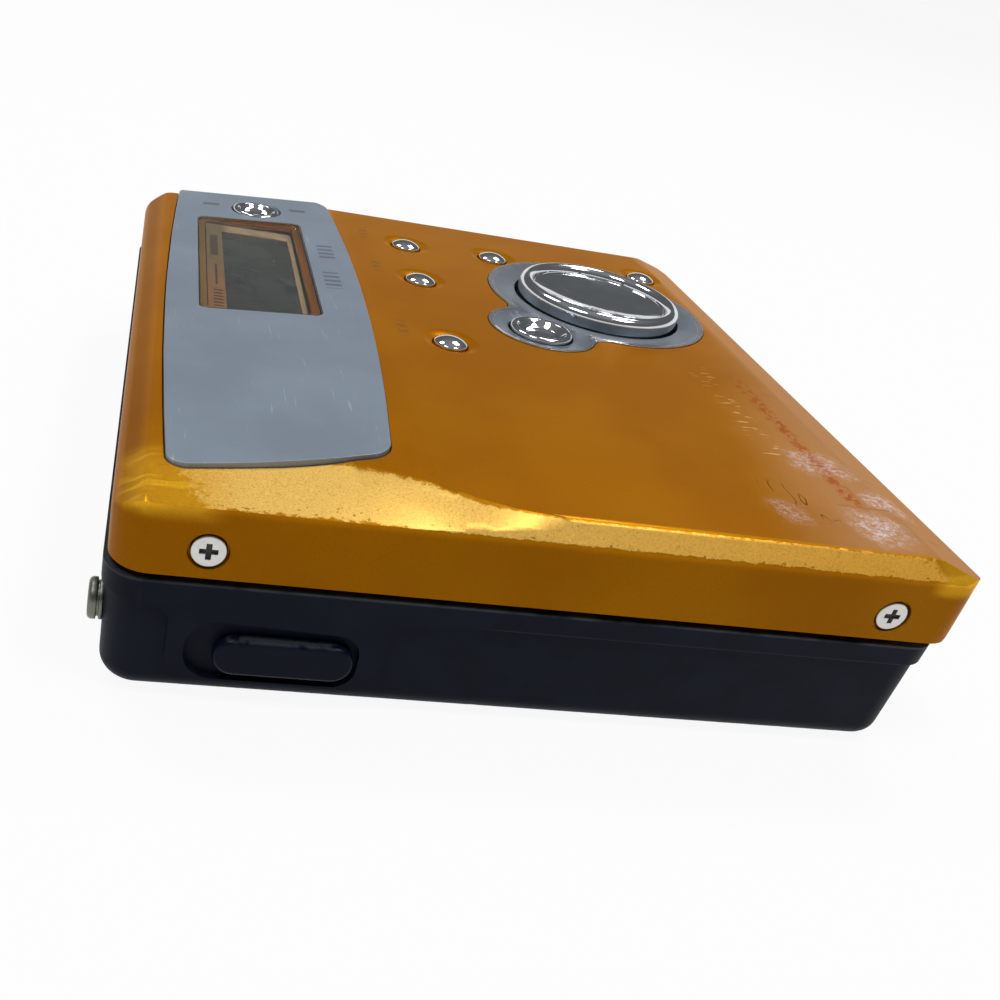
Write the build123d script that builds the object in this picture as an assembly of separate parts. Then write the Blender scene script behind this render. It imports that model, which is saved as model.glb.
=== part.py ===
"""Portable minidisc player with a hinged lid, in millimetres.

The origin is on the underside, at the middle of the footprint. X runs right along the near
face, Y runs away from it and Z runs up. The lid is hinged along its right-hand edge, and the
disc goes in from the left.
"""

import os
from math import cos, pi, sin, sqrt

from build123d import *

# ---------------------------------------------------------------- what it is built round
cartridge_width = 72.0       # disc cartridge, along Y
cartridge_length = 68.0      # along X
cartridge_height = 5.0
disc_gap = 0.1               # cartridge to holder sheet, and to the lid's left wall
holder_sheet = 0.35
ear_gap = 0.2                # holder wall to chassis ear, along Y
chassis_sheet = 0.6
ear_to_lid = 0.65            # chassis ear to lid wall
lid_wall = 1.1
hinge_to_edge = 2.8          # hinge and cartridge end, to the lid's right-hand edge

# ---------------------------------------------------------------- overall sizes
body_width = cartridge_length + disc_gap + lid_wall + hinge_to_edge
body_depth = cartridge_width + 2 * (
    disc_gap + holder_sheet + ear_gap + chassis_sheet + ear_to_lid + lid_wall
)
half_width = body_width / 2
half_depth = body_depth / 2
corner_radius = 3.2          # plan corners of both shells
top_height = 19.48           # flat of the lid above the table
lid_bottom = 11.8            # parting edge of the lid
rim_top = 11.2               # upper edge of the base

# ---------------------------------------------------------------- lid shell
near_crease_height = 17.8    # where the near and far walls turn into the bevel
near_bevel_width = 1.4
left_crease_height = 16.5    # where the left wall turns into the roll-off
left_roll_width = 2.6
left_shoulder_height = 18.05
ramp_end_x = 24.0 - half_width   # the top rises from the left shoulder to here
right_bevel_width = 5.4
right_crease_height = 17.75
right_lean = 0.25            # the right wall leans in by this much at hinge height
right_wall = 1.55
scoop_stations = (           # curved crease before the panel, from the left and near faces
    (-1.0, 4.3),
    (5.0, 5.4),
    (11.0, 6.8),
    (17.0, 7.7),
    (23.0, 5.4),
    (29.0, 2.3),
    (35.0, 1.25),
)
scoop_margin = 0.3           # the cutter runs on outside the lid by this much

# ---------------------------------------------------------------- base housing
base_left_step = 0.3         # the base stands proud of the lid on the left
base_right_inset = 1.1       # and under the lid's overhang on the right
base_right_lean = 0.5
base_wall = 1.3              # walls and floor
band_step = 0.3              # the band round the rim stands proud of the lower body
band_bottom = 9.3
bottom_fillet = 2.0

# ---------------------------------------------------------------- hinge
hinge_x = half_width - hinge_to_edge
hinge_z = 14.0
hinge_corner_radius = 2.55   # the lid's lower right corner is round about the hinge
ear_radius = 0.8
pin_radius = 0.45
pin_clearance = 0.05

# ---------------------------------------------------------------- holder and chassis sheet
cartridge_bottom = 10.1
spindle_x = -1.0
holder_lip_width = 1.6
chassis_top = 9.4

# ---------------------------------------------------------------- lid inner stack
stack_bottom = 15.95         # underside of the inner frame
frame_sheet = 0.3
board_thickness = 0.6
stack_gap = 0.05
key_sheet_thickness = 0.2

# ---------------------------------------------------------------- display panel
panel_proud = 0.38
panel_sunk = 0.65
panel_wrap_bottom = 16.0     # the panel turns down over the far edge to here
panel_gap = 0.12
panel_roll_width = 0.5       # its far edge rolls over within this
panel_beyond = 0.6           # its outline runs this far past the lid's far face
panel_left = (
    (4.1 - half_width, half_depth + panel_beyond),
    (3.0 - half_width, 1.0),
    (3.7 - half_width, 4.9 - half_depth),
)
panel_right = (
    (21.3 - half_width, 8.6 - half_depth),
    (23.6 - half_width, 5.0),
    (22.7 - half_width, half_depth + panel_beyond),
)
panel_front_bow = (12.5 - half_width, 6.1 - half_depth)
panel_near_corners = (1.7, 2.6)   # left and right
panel_far_corners = (1.2, 3.5)
window_left, window_right = 6.3 - half_width, 18.7 - half_width
window_near, window_far = half_depth - 40.8, half_depth - 10.4
window_corner = 0.9
lcd_margin = 0.9
lcd_thickness = 1.15
fit_gap = 0.08               # a fixed insert in its hole

# ---------------------------------------------------------------- keys
key_places = ((-4.0, 27.1), (-4.3, 14.6), (-4.4, -3.9), (7.4, 27.4), (28.0, 28.4))
key_radius = 1.75
key_gap = 0.2
key_flange = 0.5
key_flange_thickness = 0.4
key_travel = 0.4
key_dome_top = 19.95
dimple_radius = 3.1
dimple_depth = 0.55
panel_key_place = (13.6 - half_width, half_depth - 6.0)
panel_key_radius = 2.9
panel_key_proud = 0.12       # above the panel

# ---------------------------------------------------------------- four-way control
disc_place = (17.6, 15.4)
bezel_place = (17.3, 15.1)
bezel_radius = 13.1
lobe_place = (7.3, 3.3)
lobe_radius = 6.0
bezel_neck_radius = 2.2
bezel_thickness = 0.8
bezel_dish = 0.5
bezel_flange = 0.7           # reach under the lid
disc_radius = 9.6
disc_bowl_radius = 7.85
disc_gap_radial = 0.35
disc_height = 1.55           # chrome rim above the lid
disc_bowl_depth = 1.9
disc_bottom = 18.0
gimbal_z = 18.15
gimbal_ring_outer = 5.6
gimbal_ring_inner = 4.0
gimbal_ring_height = 0.8
gimbal_pin_radius = 0.28
gimbal_lug_gap = 0.45
gimbal_lug_thickness = 0.6
gimbal_eye_radius = 0.6      # round end of each ear and lug
disc_skin = 0.6              # thickness of the disc under its bowl
ring_key_radius = 3.45
ring_key_bowl_radius = 2.75
ring_key_top = 19.65
bezel_lip = 0.25             # flat rim round the bezel's dish

# ---------------------------------------------------------------- fasteners
lid_screw_places = (7.3 - half_width, half_width - 7.8)
lid_screw_height = 14.15
screw_head_radius = 1.39
screw_head_height = 0.45
screw_recess_gap = 0.2
screw_recess_depth = 0.5
screw_shank_radius = 0.7
driver_slot_length = 1.4
driver_slot_width = 0.42
driver_slot_depth = 0.3
base_screw_places = (
    (4.0 - half_width, 5.1 - half_depth),
    (4.0 - half_width, half_depth - 4.8),
    (half_width - 4.6, 5.1 - half_depth),
    (half_width - 4.6, half_depth - 6.6),
)
boss_radius = 1.6
lip_gap = 0.12               # lid wall to the lip inside the rim
lip_thickness = 0.36
lip_overlap = 0.2
lip_foot = 9.8
rib_foot = 0.6               # ribs and bosses start inside the floor
stud_y, stud_z = 4.5 - half_depth, 6.0
stud_radius = 1.7
stud_height = 1.2

# ---------------------------------------------------------------- release slider
slider_left, slider_right = 8.67 - half_width, 19.94 - half_width
slider_bottom, slider_top = 3.05, 6.5
slider_travel = 2.0
slider_proud = 0.5
slider_recess_depth = 0.7
scoop_left, scoop_right = 6.4 - half_width, 20.3 - half_width
scoop_bottom, scoop_top = 2.3, 8.0
tongue_left, tongue_right = 5.0 - half_width, 22.4 - half_width
tongue_bottom = 2.1
latch_sheet = 0.4
latch_tab_left, latch_tab_right = 12.8 - half_width, 14.6 - half_width
latch_nose_reach = 2.1
latch_nose_bottom = 13.4
latch_nose_height = 0.8
catch_gap = 0.3
catch_width = 2.5

# ---------------------------------------------------------------- drive under the chassis
rod_z = 5.2
rod_near, rod_far = 2.7 - half_depth, -5.6
lug_thickness = 0.8
screw_x = -12.0
guide_x = 9.0
lead_screw_radius = 1.0
guide_rod_radius = 0.75
running_gap = 0.05
sled_home_near, sled_home_far = -20.3, -11.2
sled_travel = 15.0
sled_bottom, sled_top = 3.4, 8.3
lens_y = -15.3
lens_radius = 2.0
lens_top = 9.75
gear_module = 0.3
gear_teeth = 20
pinion_teeth = 10
gear_face = 1.2
gear_near = -8.0
gear_backlash = 0.1
motor_radius = 9.6
motor_bottom = 4.2
sled_motor_radius = 2.9
sled_motor_length = 12.3

# ---------------------------------------------------------------- battery and its door
battery_left = half_width - 23.5
battery_width = 17.0
battery_height = 6.1
battery_length = 67.0
battery_far = half_depth - 3.0
battery_bottom = 2.0
bay_gap = 0.3
contact_room = 2.7           # for the leaf contacts behind the battery
bay_wall = 0.8
door_thickness = 0.75
door_gap = 0.3
door_axis_x, door_axis_y = half_width - 5.0, half_depth - 0.85
door_pin_radius = 0.35

# ---------------------------------------------------------------- jacks and side switches
board_near, board_far = half_depth - 29.4, half_depth - 2.1
board_left, board_right = 6.2 - half_width, half_width - 25.4
main_board_bottom = 2.2
jack_places = {"headphone_jack": -25.6, "line_jack": -15.2, "power_jack": -4.6}
jack_bores = {"headphone_jack": 1.8, "line_jack": 1.8, "power_jack": 1.4}
jack_z = 5.6
jack_nose_radius = 2.6
jack_block = (6.8, 12.0, 5.0)
jack_bore_depth = 11.0
switch_places = {"hold_switch": -16.0, "record_switch": 9.0}
switch_z = 5.6
switch_length = 6.0
switch_height = 2.4
switch_proud = 0.5
switch_travel = 2.0

# ---------------------------------------------------------------- places that follow
lid_inner_y = half_depth - lid_wall
base_left = -half_width - base_left_step
base_right = half_width - base_right_inset
base_inner_y = half_depth - base_wall
cartridge_right = hinge_x
cartridge_left = cartridge_right - cartridge_length
cartridge_top = cartridge_bottom + cartridge_height
holder_inner_y = cartridge_width / 2 + disc_gap
holder_outer_y = holder_inner_y + holder_sheet
ear_inner_y = holder_outer_y + ear_gap
ear_outer_y = ear_inner_y + chassis_sheet
chassis_bottom = chassis_top - chassis_sheet
board_bottom = stack_bottom + frame_sheet + stack_gap
board_top = board_bottom + board_thickness
sheet_top = board_top + key_sheet_thickness
pinion_x = screw_x - gear_module * (gear_teeth + pinion_teeth) / 2
bay_end = battery_far - battery_length - contact_room
far_away = 60.0              # longer than any dimension, for cutting tools
through = (-far_away, far_away)


def block(x, y, z):
    """A box from three (low, high) pairs."""
    size = [max(pair) - min(pair) for pair in (x, y, z)]
    middle = [sum(pair) / 2 for pair in (x, y, z)]
    return Pos(*middle) * Box(*size)


def post(place, radius, z):
    """A cylinder along Z."""
    return Pos(place[0], place[1], sum(z) / 2) * Cylinder(radius, z[1] - z[0])


def rod_y(x, z, radius, y):
    """A cylinder along Y."""
    return Pos(x, sum(y) / 2, z) * Rot(90, 0, 0) * Cylinder(radius, y[1] - y[0])


def rod_x(y, z, radius, x):
    """A cylinder along X."""
    return Pos(sum(x) / 2, y, z) * Rot(0, 90, 0) * Cylinder(radius, x[1] - x[0])


def along_y(face):
    """An X-Z outline, drawn on the ground plane, as a bar along the whole depth."""
    return extrude(Plane.XZ * face, amount=far_away, both=True)


def along_x(face):
    """A Y-Z outline, drawn on the ground plane, as a bar along the whole width."""
    return extrude(Plane.YZ * face, amount=far_away, both=True)


def rounded(points, radii):
    """A closed outline through points, each corner rounded by its own radius."""
    face = make_face(Polyline(*points, close=True))
    for point, radius in zip(points, radii):
        if radius:
            corner = face.vertices().sort_by_distance(Vector(*point, 0))[0]
            face = fillet(corner, radius)
    return face


def in_plan(left, right, near, far, radius, z):
    """A plan rectangle with round corners, between two heights."""
    face = Pos((left + right) / 2, (near + far) / 2) * RectangleRounded(
        right - left, far - near, radius
    )
    return Pos(0, 0, z[0]) * extrude(face, amount=z[1] - z[0])


# ---------------------------------------------------------------- lid
def lid_form(grow=0.0):
    """The lid's outer form without its floor, grown outwards or shrunk inwards."""
    across = rounded(
        (
            (-half_width - grow, 0),
            (-half_width - grow, left_crease_height + grow / 2),
            (-half_width + left_roll_width - grow / 2, left_shoulder_height + grow),
            (ramp_end_x, top_height + grow),
            (half_width - right_bevel_width, top_height + grow),
            (half_width + grow, right_crease_height + grow / 2),
            (half_width - right_lean + grow, hinge_z),
            (half_width - right_lean + grow, 0),
        ),
        (0, 1.5, 2.5, 25.0, 6.0, 0.7, 0, 0),
    )
    side = (
        (half_depth - near_bevel_width, top_height + grow),
        (half_depth + grow, near_crease_height + grow / 2),
        (half_depth + grow, 0),
    )
    mirrored = tuple((-y, z) for y, z in reversed(side))
    along = rounded(mirrored + side, (0, 0.5, 0.8, 0.8, 0.5, 0))
    plan = in_plan(
        -half_width - grow,
        half_width + grow,
        -half_depth - grow,
        half_depth + grow,
        corner_radius + grow,
        (0, far_away),
    )
    return (along_y(across) & along_x(along) & plan) - near_scoop(grow)


def ramp_slope():
    """Rise of the lid's top over its run, from the left shoulder to the flat."""
    run = ramp_end_x + half_width - left_roll_width
    return (top_height - left_shoulder_height) / run


def ramp_height(x):
    """Height of the lid's top at x."""
    return top_height - ramp_slope() * max(ramp_end_x - x, 0)


def near_scoop(grow):
    """What the wide slope in front of the panel takes off, up to its curved crease."""
    sections = []
    for from_left, from_near in scoop_stations:
        x = from_left - half_width
        y = from_near - half_depth
        outline = Polyline(
            (-half_depth - scoop_margin, near_crease_height + grow),
            (y, ramp_height(x) + grow),
            (y, far_away),
            (-half_depth - scoop_margin, far_away),
            close=True,
        )
        sections.append(Pos(x, 0, 0) * (Plane.YZ * make_face(outline)))
    return loft(sections)


def panel_outline(gap=0.0):
    """Plan of the display panel, moved out by a gap all round."""
    outward = (gap, 0, -gap)
    left_side = [(x - gap, y + shift) for (x, y), shift in zip(panel_left, outward)]
    right_side = [(x + gap, y - shift) for (x, y), shift in zip(panel_right, outward)]
    bow = (panel_front_bow[0], panel_front_bow[1] - gap)
    left = ThreePointArc(*left_side)
    right = ThreePointArc(*right_side)
    front = ThreePointArc(left_side[-1], bow, right_side[0])
    back = Line(right_side[-1], left_side[0])
    face = make_face([left, front, right, back])
    corners = (left_side[-1], right_side[0], left_side[0], right_side[-1])
    for corner, radius in zip(corners, panel_near_corners + panel_far_corners):
        nearest = face.vertices().sort_by_distance((*corner, 0))[0]
        face = fillet(nearest, radius + gap)
    return face


def window_outline(margin=0.0):
    """Plan of the display window, shrunk by a margin."""
    middle = Pos((window_left + window_right) / 2, (window_near + window_far) / 2)
    return middle * RectangleRounded(
        window_right - window_left - 2 * margin,
        window_far - window_near - 2 * margin,
        window_corner,
    )


def bezel_outline(shrink=0.0):
    """The big round and the side lobe, with their necks rounded by offsetting out and in."""
    big = Pos(*bezel_place) * Circle(bezel_radius - shrink)
    lobe = Pos(*lobe_place) * Circle(lobe_radius - shrink)
    return offset(offset(big + lobe, bezel_neck_radius), -bezel_neck_radius)


def hinge_corner():
    """What is cut from the lid's lower right corner, so that it turns clear of the base."""
    corner = block((hinge_x, far_away), through, (0, hinge_z))
    return corner - rod_y(hinge_x, hinge_z, hinge_corner_radius, through)


def lid_cavity():
    """Inside of the lid."""
    inside = in_plan(
        -half_width + lid_wall,
        half_width - right_lean - right_wall,
        -lid_inner_y,
        lid_inner_y,
        1.0,
        (0, far_away),
    )
    return lid_form(-lid_wall) & inside


def dimple(place):
    """A shallow dish in the lid round a key."""
    ball_radius = (dimple_radius ** 2 + dimple_depth ** 2) / (2 * dimple_depth)
    return Pos(*place, top_height - dimple_depth + ball_radius) * Sphere(ball_radius)


def screw_seat(x, side):
    """Counterbore and hole for a lid screw. side is -1 at the near wall, 1 at the far."""
    face = side * half_depth
    seat = side * (half_depth - screw_recess_depth)
    inner = side * (lid_inner_y - 1)
    radius = screw_head_radius + screw_recess_gap
    bore = rod_y(x, lid_screw_height, radius, sorted((seat, face + side)))
    hole = rod_y(x, lid_screw_height, screw_shank_radius + 0.05, sorted((inner, seat)))
    return bore + hole


def panel_form(grow):
    """Everything under the ramp and inside the far bevel, moved outwards by grow."""
    ramp = Polyline(
        (-far_away, 0),
        (-far_away, ramp_height(-far_away) + grow),
        (0, top_height - ramp_slope() * ramp_end_x + grow),
        (0, 0),
        close=True,
    )
    lean = panel_roll_width / (top_height - near_crease_height)
    edge = half_depth + grow
    bevel = Polyline(
        (-far_away, 0),
        through,
        (edge - lean * (far_away - near_crease_height), far_away),
        (edge, near_crease_height),
        (edge, 0),
        close=True,
    )
    return along_y(make_face(ramp)) & along_x(make_face(bevel))


def panel_prism(outline, low):
    """An outline in plan as a bar upwards from a height."""
    return Pos(0, 0, low) * extrude(outline, amount=20)


def lid_shell():
    """Painted lid: bevelled top, walls all round, seats for the panel, bezel and keys."""
    shell = lid_form() & block(through, through, (lid_bottom, far_away))
    shell -= hinge_corner()
    shell -= lid_cavity()
    shell -= panel_prism(panel_outline(panel_gap), panel_wrap_bottom) - panel_form(-panel_sunk)
    shell -= extrude(window_outline(lcd_margin), amount=far_away)
    shell -= extrude(bezel_outline(), amount=far_away)
    for place in key_places:
        shell -= dimple(place)
        shell -= post(place, key_radius + key_gap, through)
    shell -= post(panel_key_place, panel_key_radius + key_gap, through)
    for x in lid_screw_places:
        shell -= screw_seat(x, -1)
        shell -= screw_seat(x, 1)
    for side in (-1, 1):
        reach = sorted((side * (lid_inner_y - 0.1), side * (lid_inner_y + 0.4)))
        shell -= rod_y(hinge_x, hinge_z, pin_radius + pin_clearance, reach)
    return shell + lid_catch()


def lid_catch():
    """Rib inside the near wall that the latch nose holds."""
    left = latch_tab_right + latch_nose_reach + catch_gap
    return block(
        (left, left + catch_width),
        (-lid_inner_y - 0.1, -lid_inner_y + 0.9),
        (latch_nose_bottom - 1.2, latch_nose_bottom - 0.2),
    )


def display_panel():
    """Satin panel let into the lid, turned down over the far edge."""
    plan = panel_prism(panel_outline(), panel_wrap_bottom + panel_gap)
    panel = plan & panel_form(panel_proud) - panel_form(-panel_sunk)
    panel -= extrude(window_outline(), amount=far_away)
    return panel - post(panel_key_place, panel_key_radius + key_gap, through)


def display_window():
    """Clear plate flush in the panel."""
    plate = panel_prism(window_outline(fit_gap), panel_wrap_bottom)
    return plate & panel_form(panel_proud - 0.05) - panel_form(-panel_sunk)


def lcd_module():
    """Liquid crystal glass under the window, let into the key board."""
    plate = Pos(0, 0, board_bottom) * extrude(
        window_outline(lcd_margin + fit_gap), amount=lcd_thickness
    )
    return plate


def control_bezel():
    """Satin dish round the control disc and the ring key."""
    low = top_height - bezel_thickness - bezel_dish
    body = Pos(0, 0, low) * extrude(bezel_outline(fit_gap), amount=top_height + 0.1 - low)
    under_lid = top_height - lid_wall - low - stack_gap
    body += Pos(0, 0, low) * extrude(bezel_outline(-bezel_flange), amount=under_lid)
    body -= Pos(*bezel_place, top_height + 0.12) * dish(bezel_radius - bezel_lip, disc_radius)
    body -= Pos(*lobe_place, top_height + 0.12) * dish(lobe_radius - bezel_lip, ring_key_radius)
    body -= post(disc_place, disc_radius + disc_gap_radial, through)
    return body - post(lobe_place, ring_key_radius + key_gap, through)


def dish(outer, inner):
    """A funnel that opens upwards, from an inner radius at the dish's floor."""
    low = Pos(0, 0, -bezel_dish) * Circle(inner)
    return loft([low, Circle(outer)]) + extrude(Circle(outer), amount=2)


def lid_frame():
    """Steel sheet under the boards, with turned-down ears that take the lid screws."""
    left, right = 3.0 - half_width, half_width - 5.5
    low, high = stack_bottom, stack_bottom + frame_sheet
    edge = holder_outer_y - 0.4
    plate = in_plan(left, right, -edge, edge, 2.0, (low, high))
    plate -= extrude(window_outline(lcd_margin - 0.4), amount=far_away)
    outer = lid_inner_y - 0.1
    for x in lid_screw_places:
        for side in (-1, 1):
            strip = (x - 1.8, x + 1.8)
            plate += block(strip, sorted((side * (edge - 1), side * outer)), (low, high))
            ear_y = sorted((side * (outer - frame_sheet), side * outer))
            plate += block(strip, ear_y, (lid_screw_height - 1.3, high))
            plate -= rod_y(x, lid_screw_height, screw_shank_radius + 0.02, ear_y)
    return plate - slots_for_air()


def slots_for_air():
    """Round cut-outs that lighten the frame under the keys."""
    tool = post(disc_place, 4.2, through)
    for x in (-4.0, 24.0):
        tool += post((x, -18.0), 6.0, through)
    return tool


def key_board():
    """Printed board on the frame, cut away round the display."""
    edge = half_depth - 3.2
    left, right = 4.7 - half_width, half_width - 4.0
    board = in_plan(left, right, -edge, edge, 2.0, (board_bottom, board_top))
    return board - extrude(window_outline(lcd_margin - fit_gap), amount=far_away)


def key_sheet():
    """Rubber sheet with a low boss under each key."""
    sheet = in_plan(-11.0, 31.5, -10.0, 33.5, 2.0, (board_top, sheet_top))
    sheet += post(panel_key_place, panel_key_radius, (board_top, sheet_top))
    return sheet - post(disc_place, gimbal_bracket_radius() + 0.2, through)


def cross_slot(depth):
    """Two crossed driver slots, centred on the origin, cut down from z = 0."""
    one = Pos(0, 0, -depth / 2) * Box(driver_slot_length, driver_slot_width, depth)
    return one + Rot(0, 0, 90) * one


def screw(length):
    """A cross-head screw standing on its tip side down, top of the head at z = 0."""
    crown = Pos(0, 0, -screw_head_height) * Cylinder(
        screw_head_radius, screw_head_height, align=(Align.CENTER, Align.CENTER, Align.MIN)
    )
    crown = fillet(crown.faces().sort_by(Axis.Z)[-1].edges(), 0.2)
    shank = Pos(0, 0, -length) * Cylinder(
        screw_shank_radius,
        length - screw_head_height,
        align=(Align.CENTER, Align.CENTER, Align.MIN),
    )
    return crown + shank - cross_slot(driver_slot_depth)


def lid_screws():
    """Two screws in the near wall and two in the far wall."""
    length = 2.0
    solids = []
    for x in lid_screw_places:
        near = Pos(x, -half_depth + 0.03, lid_screw_height) * Rot(90, 0, 0)
        far = Pos(x, half_depth - 0.03, lid_screw_height) * Rot(-90, 0, 0)
        solids += [near * screw(length), far * screw(length)]
    return Compound(children=solids)


# ---------------------------------------------------------------- keys and control
def dome_key(place):
    """A chrome dome on a flange that stays under the lid."""
    flange_low = sheet_top + key_travel + stack_gap
    dome_base = top_height - 0.1
    rise = key_dome_top - dome_base
    ball = (key_radius ** 2 + rise ** 2) / (2 * rise)
    stem = post((0, 0), key_radius, (flange_low, key_dome_top))
    stem &= Pos(0, 0, key_dome_top - ball) * Sphere(ball)
    flange = post((0, 0), key_radius + key_flange, (flange_low, flange_low + key_flange_thickness))
    return Pos(*place) * (stem + flange)


def ring_key():
    """Round key in the lobe: a chrome ring round a sunk middle."""
    low = sheet_top + key_travel + stack_gap
    body = Pos(*lobe_place) * (
        post((0, 0), ring_key_radius, (low, ring_key_top))
        + post((0, 0), ring_key_radius + key_flange, (low, low + key_flange_thickness))
    )
    body = fillet(body.faces().sort_by(Axis.Z)[-1].edges(), 0.35)
    bowl = Pos(*lobe_place, ring_key_top - 0.7) * Cone(
        ring_key_bowl_radius - 0.6,
        ring_key_bowl_radius,
        0.7,
        align=(Align.CENTER, Align.CENTER, Align.MIN),
    )
    return body - bowl


def panel_key():
    """Round key in the panel: a chrome ring round a dished middle."""
    x = panel_key_place[0]
    top = ramp_height(x) + panel_proud + panel_key_proud
    low = sheet_top + key_travel + stack_gap
    body = post(panel_key_place, panel_key_radius, (low, top))
    body = fillet(body.faces().sort_by(Axis.Z)[-1].edges(), 0.3)
    bowl = Pos(*panel_key_place, top - 0.5) * Cone(
        panel_key_radius - 1.0,
        panel_key_radius - 0.6,
        0.5,
        align=(Align.CENTER, Align.CENTER, Align.MIN),
    )
    return body - bowl


def gimbal_bracket_radius():
    """Outer radius of the bracket's foot ring."""
    return gimbal_ring_outer + gimbal_lug_gap + gimbal_lug_thickness + 0.6


def gimbal_bracket():
    """Steel foot ring on the key board, with two ears for the gimbal's first axis."""
    outer = gimbal_bracket_radius()
    foot = post(disc_place, outer, (board_top, board_top + frame_sheet))
    foot -= post(disc_place, outer - 1.7, through)
    near_face = gimbal_ring_outer + gimbal_lug_gap
    for side in (-1, 1):
        x = sorted(disc_place[0] + side * r for r in (near_face, near_face + gimbal_lug_thickness))
        eye_y = (disc_place[1] - gimbal_eye_radius, disc_place[1] + gimbal_eye_radius)
        stalk = block(x, eye_y, (board_top, gimbal_z))
        stalk += rod_x(disc_place[1], gimbal_z, gimbal_eye_radius, x)
        foot += stalk - rod_x(disc_place[1], gimbal_z, gimbal_pin_radius + running_gap, x)
    return foot


def gimbal_ring():
    """Ring with two pins along X, held by the bracket, and two along Y, held by the disc."""
    low = gimbal_z - gimbal_ring_height / 2
    ring = post(disc_place, gimbal_ring_outer, (low, low + gimbal_ring_height))
    ring -= post(disc_place, gimbal_ring_inner, through)
    reach = gimbal_ring_outer + gimbal_lug_gap + gimbal_lug_thickness + 0.1
    for side in (-1, 1):
        start = side * (gimbal_ring_outer - 0.4)
        x = sorted(disc_place[0] + r for r in (start, side * reach))
        y = sorted(disc_place[1] + r for r in (start, side * reach))
        ring += rod_x(disc_place[1], gimbal_z, gimbal_pin_radius, x)
        ring += rod_y(disc_place[0], gimbal_z, gimbal_pin_radius, y)
    return ring


def control_disc():
    """Chrome disc: a raised rounded rim round a bowl, with two lugs for the gimbal."""
    top = top_height + disc_height
    bowl_floor = top - disc_bowl_depth
    skirt = 0.8
    crown_radius = (disc_radius - disc_bowl_radius) / 2
    bowl_rise = disc_bowl_depth - crown_radius
    bowl_ball = (disc_bowl_radius ** 2 + bowl_rise ** 2) / (2 * bowl_rise)
    half_way = disc_bowl_radius / 2
    half_rise = bowl_ball - sqrt(bowl_ball ** 2 - half_way ** 2)
    with BuildPart() as disc:
        with BuildSketch(Plane.XZ):
            with BuildLine():
                inside = Polyline(
                    (0, bowl_floor - disc_skin),
                    (disc_bowl_radius - 1.4, bowl_floor + 0.1),
                    (disc_radius - skirt, top - 1.2),
                    (disc_radius - skirt, disc_bottom),
                    (disc_radius, disc_bottom),
                    (disc_radius, top - crown_radius),
                )
                crown = ThreePointArc(
                    inside @ 1,
                    (disc_radius - crown_radius, top),
                    (disc_bowl_radius, top - crown_radius),
                )
                bowl = ThreePointArc(
                    crown @ 1,
                    (half_way, bowl_floor + half_rise),
                    (0, bowl_floor),
                )
                Line(bowl @ 1, inside @ 0)
            make_face()
        revolve(axis=Axis.Z)
    body = Pos(*disc_place) * disc.part
    near_face = gimbal_ring_outer + gimbal_lug_gap
    for side in (-1, 1):
        y = sorted(disc_place[1] + side * r for r in (near_face, near_face + gimbal_lug_thickness))
        lug_x = (disc_place[0] - gimbal_eye_radius, disc_place[0] + gimbal_eye_radius)
        lug = block(lug_x, y, (gimbal_z, bowl_floor + 0.3))
        lug += rod_y(disc_place[0], gimbal_z, gimbal_eye_radius, y)
        body += lug
        body -= rod_y(disc_place[0], gimbal_z, gimbal_pin_radius + running_gap, y)
    return body


# ---------------------------------------------------------------- disc holder
def disc_holder():
    """Stamped sheet tray that grips the cartridge's edges and swings with the lid."""
    left, right = cartridge_left + 0.2, cartridge_right
    low = cartridge_bottom - disc_gap - holder_sheet
    roof_low = cartridge_top + disc_gap
    roof_high = roof_low + holder_sheet
    tray = block((left, right), (-holder_outer_y, holder_outer_y), (roof_low, roof_high))
    for side in (-1, 1):
        wall_y = sorted((side * holder_inner_y, side * holder_outer_y))
        lip_y = sorted((side * (holder_inner_y - holder_lip_width), side * holder_outer_y))
        tray += block((left, right - 1.4), wall_y, (low, roof_high))
        tray += block((left, right - 3.0), lip_y, (low, low + holder_sheet))
        tray += rod_y(hinge_x, hinge_z, ear_radius, wall_y)
        tray += block((right - 1.5, hinge_x), wall_y, (hinge_z - ear_radius, roof_high))
        tray -= rod_y(hinge_x, hinge_z, pin_radius + pin_clearance, wall_y)
    end_y = (6.0 - cartridge_width / 2, cartridge_width / 2 - 6.0)
    tray += block((right - holder_sheet, right), end_y, (roof_low - 2.5, roof_high))
    tray -= post((spindle_x, 0), 9.0, (roof_low - 1, roof_high + 1))
    for y in (-22.0, 22.0):
        tray -= block((-20, 16), (y - 4.6, y + 4.6), (roof_low - 1, roof_high + 1))
        tray += block((-20, 8), (y - 1.5, y + 1.5), (roof_low, roof_high))
    tray -= block((left - 1, left + 6), (-14, 14), (roof_low - 1, roof_high + 1))
    return tray


def hinge_pins():
    """One pin at each end, through the holder, the chassis ear and the lid's wall."""
    inner = holder_inner_y - 0.05
    outer = lid_inner_y + 0.35
    near = rod_y(hinge_x, hinge_z, pin_radius, (-outer, -inner))
    far = rod_y(hinge_x, hinge_z, pin_radius, (inner, outer))
    return Compound(children=[near, far])


# ---------------------------------------------------------------- base
def base_form(inset=0.0, top=rim_top):
    """The base's outer form with round lower edges, shrunk by an inset."""
    lean = base_right_lean / rim_top
    radius = corner_radius - inset / 2
    sections = []
    for z in (inset, top):
        left = base_left + inset
        right = base_right - inset - lean * (rim_top - z)
        depth = body_depth - 2 * inset
        place = Pos((left + right) / 2, 0, z)
        sections.append(place * RectangleRounded(right - left, depth, radius))
    form = loft(sections, ruled=True)
    lower_edges = form.faces().sort_by(Axis.Z)[0].edges()
    return fillet(lower_edges, bottom_fillet - inset / 2)


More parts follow.
